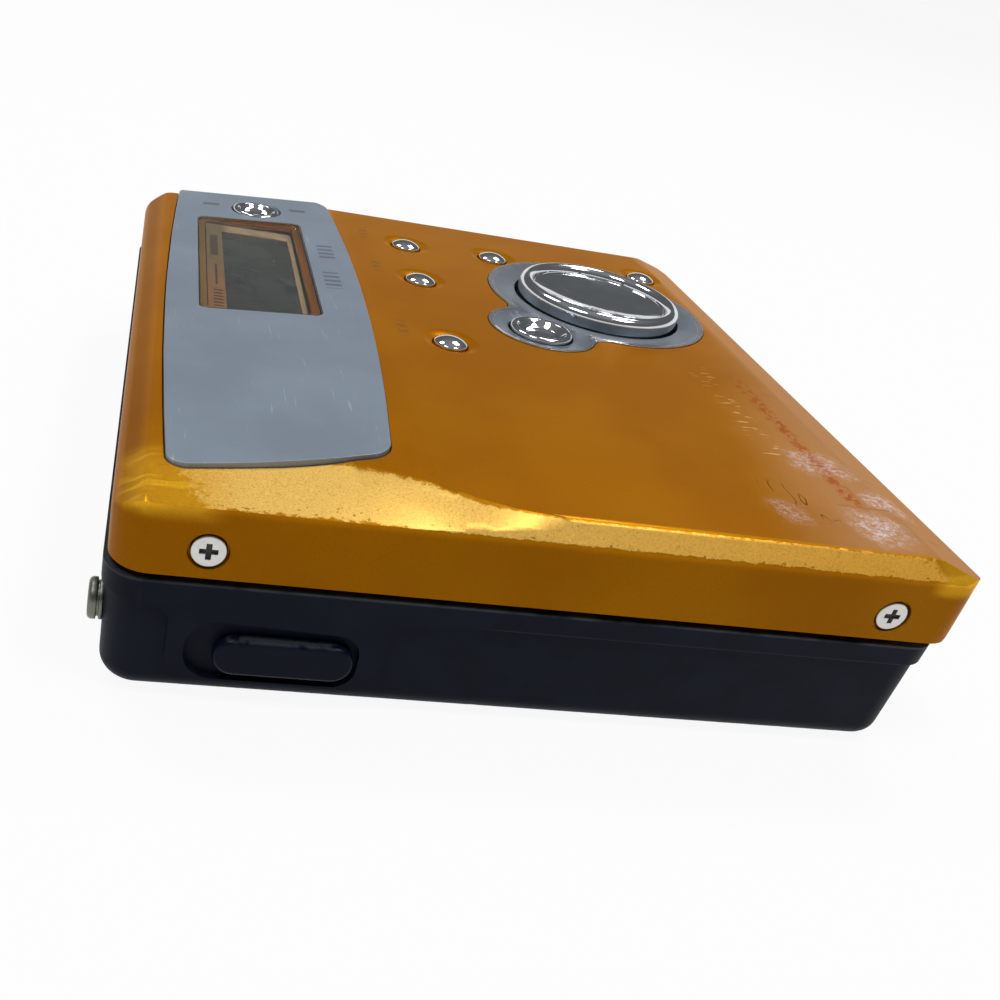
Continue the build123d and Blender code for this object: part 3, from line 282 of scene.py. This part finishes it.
def dress(node, name, body, material, edge=0.0):
    """A copy of a CAD piece with its triangles merged to faces and its edges softened."""
    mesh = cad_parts[node].data.copy()
    mesh.materials.clear()
    piece = bpy.data.objects.new(name, mesh)
    scene.collection.objects.link(piece)
    bpy.ops.object.select_all(action="DESELECT")
    bpy.context.view_layer.objects.active = piece
    piece.select_set(True)
    bpy.ops.object.mode_set(mode="EDIT")
    bpy.ops.mesh.select_all(action="SELECT")
    bpy.ops.mesh.remove_doubles(threshold=weld_distance)
    bpy.ops.mesh.dissolve_limited(angle_limit=flat_within)
    bpy.ops.object.mode_set(mode="OBJECT")
    if mesh.has_custom_normals:
        bpy.ops.mesh.customdata_custom_splitnormals_clear()
    if edge:
        soft = piece.modifiers.new("edge", "BEVEL")
        soft.width = edge
        soft.segments = 2
        soft.limit_method = "ANGLE"
        soft.angle_limit = sharp_from
        bpy.ops.object.modifier_apply(modifier="edge")
    bpy.ops.object.shade_smooth_by_angle(angle=sharp_from)
    even = piece.modifiers.new("even", "WEIGHTED_NORMAL")
    even.keep_sharp = True
    even.weight = 60
    bpy.ops.object.modifier_apply(modifier="even")
    mesh.materials.append(material)
    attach(piece, body)
    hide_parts(node)


rim_low = (10.95, 11.12)
rim_high = (11.3, 11.5)
band_edge_z = 9.34
band_edge_left = (-7.0, -4.0)
navy_highlight_colour = (0.050, 0.054, 0.060)
navy = finish("navy_grained_plastic")
grain = navy.noise(5200, detail=1.0)
cloud = navy.noise(260, detail=3.0)
x, _, z = navy.millimetres()
# Painted highlight: the rim's top and the band's lower edge are painted paler navy.
rim_highlight = navy.span(z, rim_low, rim_high) * navy.rise(cloud, 0.3, 0.6)
band_edge_highlight = navy.bar(z, band_edge_z, 0.05, 0.05) * navy.rise(x, *band_edge_left)
navy_edge_highlight = (rim_highlight * 0.9 + band_edge_highlight * 0.35).at_most(1.0)
blue = navy.mix(navy.rise(cloud, 0.35, 0.65), (0.0042, 0.0068, 0.0135), (0.006, 0.0092, 0.018))
navy_finish = navy.coat(
    base_color=navy.mix(navy_edge_highlight, blue, navy_highlight_colour),
    roughness=0.40 + 0.16 * grain,
    specular_ior_level=0.07,
    normal=navy.relief(grain, 0.000004, 0.6),
)
dress("base_housing", "base_tub", "base", navy_finish, 0.00014)
dress("battery_door", "bay_door", "door", navy_finish, 0.0001)

# ---------------------------------------------------------------- release slider and switches
# A thumb bar and two small slides, injection moulded in the same navy with polished faces.
# The thumb bar's upper edge is painted paler as a highlight.
slider_edge_z = (6.2, 6.45)
slider_front_y = (-30.0, -31.0)
gloss = finish("navy_polished_plastic")
rubbed = gloss.noise(700, detail=4.0)
ripple = gloss.noise(900, detail=2.0)
y, z = gloss.millimetres()[1:]
# Painted highlight: a pale streak along the thumb bar's upper front edge.
bar_edge_highlight = gloss.rise(z, *slider_edge_z) * gloss.rise(rubbed, 0.40, 0.55)
bar_edge_highlight = bar_edge_highlight * gloss.rise(y, *slider_front_y) * 0.6
deep_navy = gloss.mix(rubbed, (0.003, 0.0048, 0.012), (0.005, 0.0075, 0.018))
gloss_finish = gloss.coat(
    base_color=gloss.mix(bar_edge_highlight, deep_navy, (0.05, 0.055, 0.06)),
    roughness=0.18 + 0.14 * rubbed,
    specular_ior_level=0.07,
    normal=gloss.relief(ripple, 0.000004, 0.25),
)
dress("open_slider", "release_bar", "slider", gloss_finish, 0.00008)
dress("hold_switch", "hold_thumb", "hold_body", gloss_finish, 0.00006)
dress("record_switch", "record_thumb", "record_body", gloss_finish, 0.00006)

# ---------------------------------------------------------------- painted lid
# A die-cast lid sprayed with gold flake paint under a satin clear coat. The near bevel is
# rubbed and speckled under a pale painted highlight; the top's near right is hazed and scuffed.
paint = finish("gold_flake_paint")
x, y, z = paint.millimetres()
away, upward = paint.facing()[1:]
flake = paint.noise(6200, detail=1.0)
cloud = paint.noise(70, detail=3.0)
ragged = paint.noise(1300, detail=4.0, roughness=0.7)
on_top = paint.rise(upward, 0.9, 0.97)

# How far up the near bevel a point lies, from 0 at the near face to 1 at the top, which
# falls away to the left of its shoulder.
bevel_foot = 17.8
flat_top = 19.48
shoulder_x = -12.0
shoulder_fall = 0.0668
top_height = flat_top - shoulder_fall * (shoulder_x - x).at_least(0.0)
climb = (z - bevel_foot) / (top_height - bevel_foot)
slope = paint.rise(away, -0.04, -0.09) * paint.rise(upward, 0.3, 0.45)
slope = slope * paint.rise(y, -29.0, -30.0)

# The rubbed band follows the bevel between its two creases, with ragged ends.
# Its pale gold is partly rubbed wear and partly a painted highlight.
ragged_climb = climb + 0.3 * (ragged - 0.5)
ragged_length = x + 7.0 * (ragged - 0.5) + 2.2 * (climb - 0.5)
rub_and_highlight = slope * paint.span(ragged_climb, (0.05, 0.09), (0.87, 0.93))
rub_and_highlight = rub_and_highlight * paint.span(ragged_length, (-31.0, -29.6), (30.0, 31.4))

# The sound paint has painted shade low on the walls, is hazed towards the near right corner,
# and carries a painted highlight on the bevel that is brightest where the two near corners turn.
dark_gold = paint.mix(paint.rise(cloud, 0.3, 0.7), (0.42, 0.142, 0.0008), (0.48, 0.176, 0.0014))
# Painted shade: the walls are painted darker below the foot of the near bevel.
dark_gold = paint.shade(dark_gold, 0.64 + 0.36 * paint.rise(z, 17.2, 18.0))
haze = paint.rise(x - 0.25 * y + 6.0 * (cloud - 0.5), 24.0, 36.0) * on_top
gold = paint.mix(haze * 0.8, dark_gold, (0.52, 0.27, 0.12))
# Painted highlight: the whole near bevel is painted a lighter gold.
gold = paint.mix(slope * 0.6, gold, (0.60, 0.26, 0.008))
# Painted highlight where the two near corners turn.
left_corner_highlight = paint.rise(y, -29.0, -34.0) * paint.rise(x, -27.0, -31.0)
left_corner_highlight = left_corner_highlight * paint.rise(z, 16.2, 17.8)
right_corner_highlight = paint.rise(x, 30.0, 32.0) * paint.rise(y, -33.0, -36.0)
right_corner_highlight = right_corner_highlight * paint.rise(upward, 0.93, 0.80) * paint.rise(z, 16.2, 17.2)
sweep = paint.noise(420, detail=2.0, turn=(0, 0, 0.9), stretch=(0.4, 2.4, 1.0))
corner_highlight = (left_corner_highlight + right_corner_highlight) * (0.45 + 0.45 * paint.rise(sweep, 0.45, 0.62))
gold = paint.mix(corner_highlight, gold, (0.95, 0.50, 0.025))
# Painted highlight in the rubbed band: paler towards the left end, palest past the left corner.
worn_and_highlight_gold = paint.mix(paint.rise(x, 34.0, -28.0), (1.0, 0.50, 0.065), (1.0, 0.62, 0.15))
worn_and_highlight_gold = paint.mix(paint.rise(x, -26.0, -29.5) * 0.5, worn_and_highlight_gold, (0.86, 0.44, 0.04))
gold = paint.mix(rub_and_highlight, gold, worn_and_highlight_gold)

# The ledge under the display window is printed bronze to match the mask.
ledge = paint.bar(x, -23.5, 6.3) * paint.bar(y, 13.4, 15.3) * paint.rise(z, 17.84, 17.78)
# Its bronze is painted lighter than its own colour, as painted light for what the window holds
# back.
ledge_bronze = paint.mix(paint.rise(x, -28.4, -19.0), (0.34, 0.21, 0.09), (0.74, 0.56, 0.34))
gold = paint.mix(ledge, gold, ledge_bronze)

# Pale scuffs near the right corner: place, drift of the outline along x and y, radius of
# the heart, radius of the edge, and strength.
scuffs = (
    ((27.3, -22.6), (1.0, -1.0), 0.4, 3.9, 1.0),
    ((31.2, -28.8), (-1.0, 0.0), 0.3, 2.9, 1.0),
    ((27.4, -33.6), (0.0, 1.0), 0.6, 3.8, 1.0),
    ((19.4, -32.4), (1.0, 0.0), 0.3, 2.8, 0.6),
)
wander = 7.0 * (paint.noise(330, detail=3.0, roughness=0.6) - 0.5)
scuff = 0.0
for centre, drift, heart, edge, strength in scuffs:
    spot = paint.spot(x + drift[0] * wander, y + drift[1] * wander, centre, heart, edge)
    scuff = scuff + strength * spot
scuff = scuff.at_most(1.0) * paint.rise(ragged, 0.32, 0.6) * (1.0 - slope)
scribble = (paint.noise(1500, detail=3.0, roughness=0.6) - 0.5).size()
scribble = paint.rise(scribble, 0.05, 0.012)
gold = paint.mix(scuff * (0.3 + 0.65 * scribble), gold, (0.90, 0.78, 0.84))

# Finer marks beside them: a dark scrawl, hair scratches, a row of bright nicks and a red
# stain that runs along it.
scrawl = (paint.noise(430, detail=1.0, turn=(0, 0, 0.5), stretch=(1.6, 0.5, 1.0)) - 0.5).size()
scrawl = paint.rise(scrawl, 0.022, 0.010) * paint.bar(x + 0.57 * y, 4.4, 1.2, 0.5)
scrawl = scrawl * paint.bar(y, -30.2, 3.0, 0.6)
gold = paint.mix(scrawl * 0.85, gold, (0.13, 0.055, 0.004))
scratch = paint.noise(800, detail=2.0, turn=(0, 0, -0.7), stretch=(0.12, 3.0, 1.0))
scratch = paint.rise(scratch, 0.70, 0.74) * (haze + 0.15 * (1.0 - haze))
gold = paint.mix(scratch * 0.6 * (1.0 - rub_and_highlight), gold, (0.20, 0.075, 0.004))
nick = paint.noise(1700, detail=2.0, turn=(0, 0, 0.25), stretch=(0.30, 1.6, 1.0))
nick = paint.rise(nick, 0.60, 0.66)
nick = nick * paint.bar(x, 23.5, 1.1, 0.6) * paint.bar(y, -12.0, 10.5, 1.5)
gold = paint.mix(nick * 0.75, gold, (0.86, 0.58, 0.22))
stain = paint.bar(x, 27.3, 0.7, 0.5) * paint.bar(y, -17.0, 13.5, 1.5)
stain = stain * paint.rise(ragged, 0.44, 0.56)
gold = paint.mix(stain * 0.75, gold, (0.40, 0.065, 0.006))

# Plain ticks are printed to the left of three of the domed keys.
tick_x = -9.2
tick_start = -3.6
tick_pitch = 1.5
tick_row_half = 2.2
tick_rows = sum(paint.bar(y, middle, tick_row_half) for middle in (29.3, 17.0, -1.9))
tick = paint.bar(x, tick_x, 0.55)
tick = tick * paint.bar(((y - tick_start) / tick_pitch).fraction(), 0.5, 0.3, 0.05)
tick = tick * tick_rows * on_top * 0.5 * paint.rise(ragged, 0.3, 0.6)
gold = paint.mix(tick, gold, (0.21, 0.10, 0.05))

# Specks of bare casting show in the rubbed band, most of them low on it.
speck = paint.rise(paint.noise(2300, detail=1.0), 0.67, 0.74)
speck = speck * rub_and_highlight * (0.3 + 0.7 * paint.rise(climb, 0.35, 0.12))
gold = paint.mix(speck * 0.7, gold, (0.24, 0.12, 0.02))
gold = paint.shade(gold, 1.0 + (0.14 + 0.16 * rub_and_highlight) * (flake - 0.5) * 2.0)
paint_finish = paint.coat(
    base_color=gold,
    metallic=0.45 * (1.0 - ledge),
    roughness=0.34 + 0.12 * haze + 0.2 * (flake - 0.5),
    specular_ior_level=0.06,
    specular_tint=(1.0, 0.62, 0.25),
    normal=paint.relief(flake * 0.5 + ragged * rub_and_highlight, 0.000012, 0.5),
)
dress("lid_shell", "lid_painted", "lid", paint_finish, 0.00012)

# ---------------------------------------------------------------- display panel
# A separate moulded panel with a satin blue-grey spray, let into the lid with a dark gap
# all round. It is turned down over the far edge and carries plain printed dashes.
dash_start = 0.4
dash_pitch = 1.3
dash_half = 0.9
panel = finish("satin_blue_grey_paint")
fine = panel.noise(6500, detail=1.0)
cloud = panel.noise(90, detail=3.0)
x, y = panel.millimetres()[:2]
grey = panel.mix(panel.rise(cloud, 0.3, 0.7), (0.25, 0.30, 0.365), (0.29, 0.345, 0.42))
long_way = panel.noise(900, detail=3.0, turn=(0, 0, 0.35), stretch=(2.6, 0.16, 1.0))
hairline = panel.rise(long_way, 0.66, 0.72) * panel.rise(cloud, 0.4, 0.6)
grey = panel.mix(hairline * 0.35, grey, (0.62, 0.66, 0.70))
near_dashes = panel.bar(x, -15.3, dash_half) * panel.bar(y, 9.0, 2.6)
far_dashes = panel.bar(x, -15.1, dash_half) * panel.bar(y, 18.8, 2.6)
stripe = panel.bar(((y - dash_start) / dash_pitch).fraction(), 0.5, 0.24, 0.05)
key_dashes = panel.bar(y, 34.0, 0.5) * (panel.bar(x, -28.0, 1.0) + panel.bar(x, -17.2, 1.0))
print_mark = ((near_dashes + far_dashes) * stripe + key_dashes).at_most(1.0)
grey = panel.mix(print_mark * 0.6, grey, (0.07, 0.085, 0.10))
panel_finish = panel.coat(
    base_color=panel.shade(grey, 1.0 + 0.16 * (fine - 0.5)),
    metallic=0.45,
    roughness=0.36 + 0.12 * fine,
    specular_ior_level=0.15,
    normal=panel.relief(fine, 0.000004, 0.4),
)
dress("display_panel", "panel_plate", "lid", panel_finish, 0.00012)

# ---------------------------------------------------------------- display window
# A plate of clear acrylic glued flush into the panel, with fine scratches in its face.
# They show as patches that are a little less polished.
clear = finish("clear_acrylic")
window_finish = clear.coat(
    base_color=(0.97, 0.95, 0.91),
    roughness=0.02 + 0.05 * clear.rise(clear.noise(500, detail=4.0), 0.5, 0.8),
    ior=1.40,
    transmission_weight=1.0,
)
dress("display_window", "window_plate", "lid", window_finish, 0.0001)

# ---------------------------------------------------------------- printed mask
# A film printed in bronze on the display glass, which leaves the picture area open. Its wider
# left side carries a dark patch, a stem and a row of plain ticks.
mask_centre = (-0.0235, 0.0134, 0.01747)
mask_across = 0.0103
mask_along = 0.0282
mask_thickness = 0.0001
picture_x = (-0.0268, -0.0189)
picture_y = (-0.0004, 0.0250)
plane_side = 0.001
bpy.ops.object.select_all(action="DESELECT")
bpy.ops.mesh.primitive_plane_add(size=plane_side, location=(0, 0, 0))
mask = bpy.context.object
mask.name = "window_mask"
bpy.ops.object.mode_set(mode="EDIT")
bpy.ops.transform.resize(value=(mask_across / plane_side, mask_along / plane_side, 1.0))
bpy.ops.transform.translate(value=mask_centre)
for cuts, across in ((picture_x, Vector((1, 0, 0))), (picture_y, Vector((0, 1, 0)))):
    for cut in cuts:
        bpy.ops.mesh.select_all(action="SELECT")
        bpy.ops.mesh.bisect(plane_co=cut * across, plane_no=across)
bpy.ops.mesh.select_all(action="DESELECT")
bpy.ops.object.mode_set(mode="OBJECT")
for face in mask.data.polygons:
    within_x = picture_x[0] < face.center.x < picture_x[1]
    within_y = picture_y[0] < face.center.y < picture_y[1]
    face.select = within_x and within_y
bpy.ops.object.mode_set(mode="EDIT")
bpy.ops.mesh.select_mode(type="FACE")
bpy.ops.mesh.delete(type="FACE")
bpy.ops.mesh.select_all(action="SELECT")
bpy.ops.mesh.extrude_region_move(TRANSFORM_OT_translate={"value": (0, 0, mask_thickness)})
bpy.ops.mesh.select_all(action="SELECT")
bpy.ops.mesh.normals_make_consistent(inside=False)
bpy.ops.object.mode_set(mode="OBJECT")
ink = finish("bronze_print")
x, y = ink.millimetres()[:2]
blot = ink.noise(450, detail=3.0)
# Painted light: the bronze is painted lighter than its own colour, for what the window holds back.
bronze = ink.mix(ink.rise(y, 2.0, 20.0), (0.42, 0.20, 0.075), (0.30, 0.22, 0.11))
bronze = ink.mix(ink.rise(x, -27.0, -25.6), bronze, (0.60, 0.44, 0.26))
patch = ink.bar(x, -27.8, 0.45) * ink.bar(y, 19.5, 3.6, 0.2)
row = ink.bar(x, -27.6, 0.5) * ink.bar(y, 3.0, 2.7) * ink.bar((y / 0.9).fraction(), 0.5, 0.22, 0.05)
stem = ink.bar(x, -27.7, 0.12, 0.04) * ink.bar(y, 9.8, 3.2)
dark_print = (patch * 0.8 + row + stem).at_most(1.0) * 0.85
bronze = ink.mix(dark_print, bronze, (0.022, 0.012, 0.010))
ink_finish = ink.coat(
    base_color=ink.shade(bronze, 0.75 + 0.5 * blot),
    roughness=0.45,
    specular_ior_level=0.2,
)
mask.data.materials.append(ink_finish)
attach(mask, "lid")

# ---------------------------------------------------------------- display glass
# The liquid crystal sandwich: two sheets of glass with a dark grey-green picture area. It
# is glued under the window, and old damp has left faint smudges in it.
crystal = finish("liquid_crystal_glass")
y = crystal.millimetres()[1]
blot = crystal.noise(260, detail=4.0)
smudge = crystal.noise(520, detail=3.0, turn=(0, 0, 0.2), stretch=(1.0, 2.2, 1.0))
lcd = crystal.mix(crystal.rise(blot, 0.3, 0.7), (0.040, 0.055, 0.055), (0.080, 0.098, 0.092))
near_smudge = crystal.rise(y, 7.0, -1.0) * crystal.rise(smudge, 0.4, 0.65)
lcd = crystal.mix(near_smudge * 0.6, lcd, (0.085, 0.055, 0.055))
lcd = crystal.mix(crystal.rise(smudge, 0.60, 0.72) * 0.4, lcd, (0.13, 0.15, 0.145))
lcd_finish = crystal.coat(base_color=lcd, roughness=0.22, specular_ior_level=0.3)
dress("lcd_module", "display_glass", "lid", lcd_finish)

# ---------------------------------------------------------------- control bezel
# A satin plated dish round the control disc and the ring key, with a polished lip. It is
# pressed into its seat in the lid.
bezel_lip_z = (19.50, 19.56)
satin = finish("satin_plate")
z = satin.millimetres()[2]
lip = satin.rise(z, *bezel_lip_z)
fog = satin.noise(500, detail=3.0)
dish_grey = satin.mix(fog, (0.27, 0.31, 0.36), (0.36, 0.41, 0.48))
satin_finish = satin.coat(
    base_color=satin.mix(lip, dish_grey, (0.72, 0.74, 0.76)),
    metallic=1.0,
    roughness=0.30 - 0.16 * lip + 0.08 * fog,
)
dress("control_bezel", "control_dish", "lid", satin_finish, 0.0001)

# ---------------------------------------------------------------- chrome control and keys
# The four-way disc, the ring key, the panel key and the five domed keys are plastic, plated
# with bright chrome that has picked up faint smears.
plate = finish("bright_chrome")
smear = plate.noise(420, detail=4.0, roughness=0.6)
chrome_finish = plate.coat(
    base_color=plate.mix(smear, (0.58, 0.61, 0.64), (0.74, 0.76, 0.78)),
    metallic=1.0,
    roughness=0.05 + 0.10 * plate.rise(smear, 0.45, 0.75),
    normal=plate.relief(plate.noise(260, detail=1.0), 0.000006, 0.2),
)
dress("control_disc", "control_disc_chrome", "control", chrome_finish, 0.0001)
dress("ring_key", "ring_key_chrome", "ring_key_body", chrome_finish, 0.0001)
dress("panel_key", "panel_key_chrome", "panel_key_body", chrome_finish, 0.0001)
for number in range(1, 6):
    key = f"key_{number}"
    dress(key, f"{key}_chrome", f"{key}_body", chrome_finish, 0.00008)

# ---------------------------------------------------------------- screws, pins, rods and stud
# Turned steel with a dull nickel plate. The lid's screws have bright heads with painted shade in
# the driver slots and round each head's rim, and the stud on the left wall is the dullest.


def clothe(node, material):
    """Gives its material to a CAD piece that is shown as it is."""
    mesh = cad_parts[node].data
    mesh.materials.clear()
    mesh.materials.append(material)


nickel = finish("nickel_plate")
wear = nickel.noise(1800, detail=3.0)
nickel_finish = nickel.coat(
    base_color=nickel.mix(wear, (0.34, 0.33, 0.31), (0.50, 0.49, 0.47)),
    metallic=1.0,
    roughness=0.26 + 0.16 * wear,
)
dull = finish("dull_nickel")
grime = dull.noise(1800, detail=3.0)
dull_finish = dull.coat(
    base_color=dull.mix(grime, (0.13, 0.13, 0.11), (0.24, 0.24, 0.21)),
    metallic=1.0,
    roughness=0.34 + 0.16 * grime,
)
left_screw_x = -28.7
right_screw_x = 28.2
screw_z = 14.15
slot_half = 0.24
slot_reach = (0.84, 0.76)
slot_depth_y = (38.90, 38.84)
head_rim_shade_radii = (1.26, 1.36)
head = finish("nickel_screw_head")
x, y, z = head.millimetres()
wear = head.noise(1800, detail=3.0)
off_axis = (x - left_screw_x).size().at_most((x - right_screw_x).size())
off_level = (z - screw_z).size()
from_axis = (off_axis ** 2.0 + off_level ** 2.0) ** 0.5
# Painted shade: the driver slots are painted near black and not metallic.
slot_painted_shade = (head.bar(off_axis, 0.0, slot_half) + head.bar(off_level, 0.0, slot_half)).at_most(1.0)
slot_painted_shade = slot_painted_shade * head.rise(from_axis, *slot_reach) * head.rise(y.size(), *slot_depth_y)
steel = head.mix(wear, (0.52, 0.51, 0.48), (0.70, 0.69, 0.66))
# Painted shade: a dark ring round the rim of each head, where it meets its counterbore.
steel = head.mix(head.rise(from_axis, *head_rim_shade_radii) * 0.8, steel, (0.20, 0.19, 0.18))
head_finish = head.coat(
    base_color=head.mix(slot_painted_shade * 0.95, steel, (0.012, 0.013, 0.014)),
    metallic=1.0 - slot_painted_shade,
    roughness=0.26 + 0.16 * wear + 0.3 * slot_painted_shade,
)
dress("lid_screws", "lid_screw_heads", "lid", head_finish, 0.00005)
dress("base_screws", "base_screw_heads", "base", nickel_finish, 0.00005)
dress("side_stud", "stud_turned", "base", dull_finish, 0.00006)
for node in ("hinge_pins", "lead_screw", "guide_rod"):
    clothe(node, nickel_finish)

# ---------------------------------------------------------------- pressed steel
# Chassis, disc holder, lid frame, latch plate, gimbal bracket and the two motors' cans are
# pressed from zinc coated sheet, with rolling lines and a faint spangle.
sheet = finish("zinc_coated_steel")
spangle = sheet.node("TexVoronoi", vector=sheet.place(), scale=380.0)
rolled = sheet.noise(1600, detail=2.0, stretch=(0.08, 1.0, 1.0))
sheet_finish = sheet.coat(
    base_color=sheet.mix(rolled, (0.46, 0.47, 0.48), (0.60, 0.61, 0.62)),
    metallic=1.0,
    roughness=0.30 + 0.10 * rolled + 0.08 * spangle,
    normal=sheet.relief(rolled, 0.000003, 0.3),
)
for node in (
    "chassis_plate",
    "disc_holder",
    "lid_frame",
    "latch_plate",
    "gimbal_bracket",
    "spindle_motor",
    "sled_motor",
):
    clothe(node, sheet_finish)

# ---------------------------------------------------------------- drive and sockets
# Turntable, sled, gimbal ring and sockets are black moulded plastic, the gear white nylon,
# and the pinion and the contacts gilt brass. The lens is glass with a blue coating.
black = finish("black_moulding")
tool = black.noise(2600, detail=2.0)
black_finish = black.coat(
    base_color=black.mix(tool, (0.012, 0.012, 0.013), (0.022, 0.022, 0.024)),
    roughness=0.42 + 0.16 * tool,
    normal=black.relief(tool, 0.000005, 0.4),
)
black_nodes = (
    "turntable",
    "pickup_sled",
    "gimbal_ring",
    "headphone_jack",
    "line_jack",
    "power_jack",
)
for node in black_nodes:
    clothe(node, black_finish)
nylon = finish("white_nylon")
tool = nylon.noise(2000, detail=2.0)
nylon_finish = nylon.coat(
    base_color=nylon.mix(tool, (0.66, 0.64, 0.58), (0.76, 0.74, 0.68)),
    roughness=0.45 + 0.1 * tool,
)
clothe("screw_gear", nylon_finish)
gilt = finish("gilt_brass")
tool = gilt.noise(1500, detail=3.0)
gilt_finish = gilt.coat(
    base_color=gilt.mix(tool, (0.74, 0.50, 0.20), (0.86, 0.64, 0.30)),
    metallic=1.0,
    roughness=0.22 + 0.14 * tool,
)
for node in ("motor_pinion", "battery_contacts", "door_contact"):
    clothe(node, gilt_finish)
glass = finish("coated_lens")
lens_finish = glass.coat(
    base_color=glass.mix(glass.noise(300), (0.10, 0.14, 0.34), (0.16, 0.12, 0.30)),
    roughness=0.04,
    coat_weight=1.0,
)
clothe("objective_lens", lens_finish)

# ---------------------------------------------------------------- boards, key sheet and battery
# Green solder resist over copper tracks, black chips, a grey silicone key sheet, and a
# stick cell in a plain sleeve with bare metal ends.
chip_low = (3.05, 3.1)
chip_high = (9.0, 10.0)
board = finish("printed_board")
x, y, z = board.millimetres()
track_x = ((x * 0.55).fraction() - 0.5).size()
track_y = ((y * 0.45).fraction() - 0.5).size()
track = board.rise(track_x.at_most(track_y), 0.06, 0.03)
chip = board.span(z, chip_low, chip_high)
resist = board.mix(board.noise(200), (0.010, 0.075, 0.035), (0.016, 0.10, 0.045))
resist = board.mix(track * 0.6, resist, (0.05, 0.20, 0.09))
board_finish = board.coat(
    base_color=board.mix(chip, resist, (0.012, 0.012, 0.014)),
    roughness=0.3 + 0.2 * chip,
)
clothe("key_board", board_finish)
clothe("main_board", board_finish)
silicone = finish("grey_silicone")
silicone_finish = silicone.coat(
    base_color=silicone.mix(silicone.noise(900), (0.045, 0.045, 0.05), (0.065, 0.065, 0.07)),
    roughness=0.7,
)
clothe("key_sheet", silicone_finish)
cell_middle_y = 2.5
cell_end = (31.6, 31.8)
sleeve = finish("cell_sleeve")
y = sleeve.millimetres()[1]
ends = sleeve.rise((y - cell_middle_y).size(), *cell_end)
sleeve_finish = sleeve.coat(
    base_color=sleeve.mix(ends, (0.20, 0.24, 0.30), (0.66, 0.66, 0.66)),
    metallic=0.3 + 0.7 * ends,
    roughness=0.3 + 0.12 * sleeve.noise(800, detail=2.0),
)
clothe("battery", sleeve_finish)
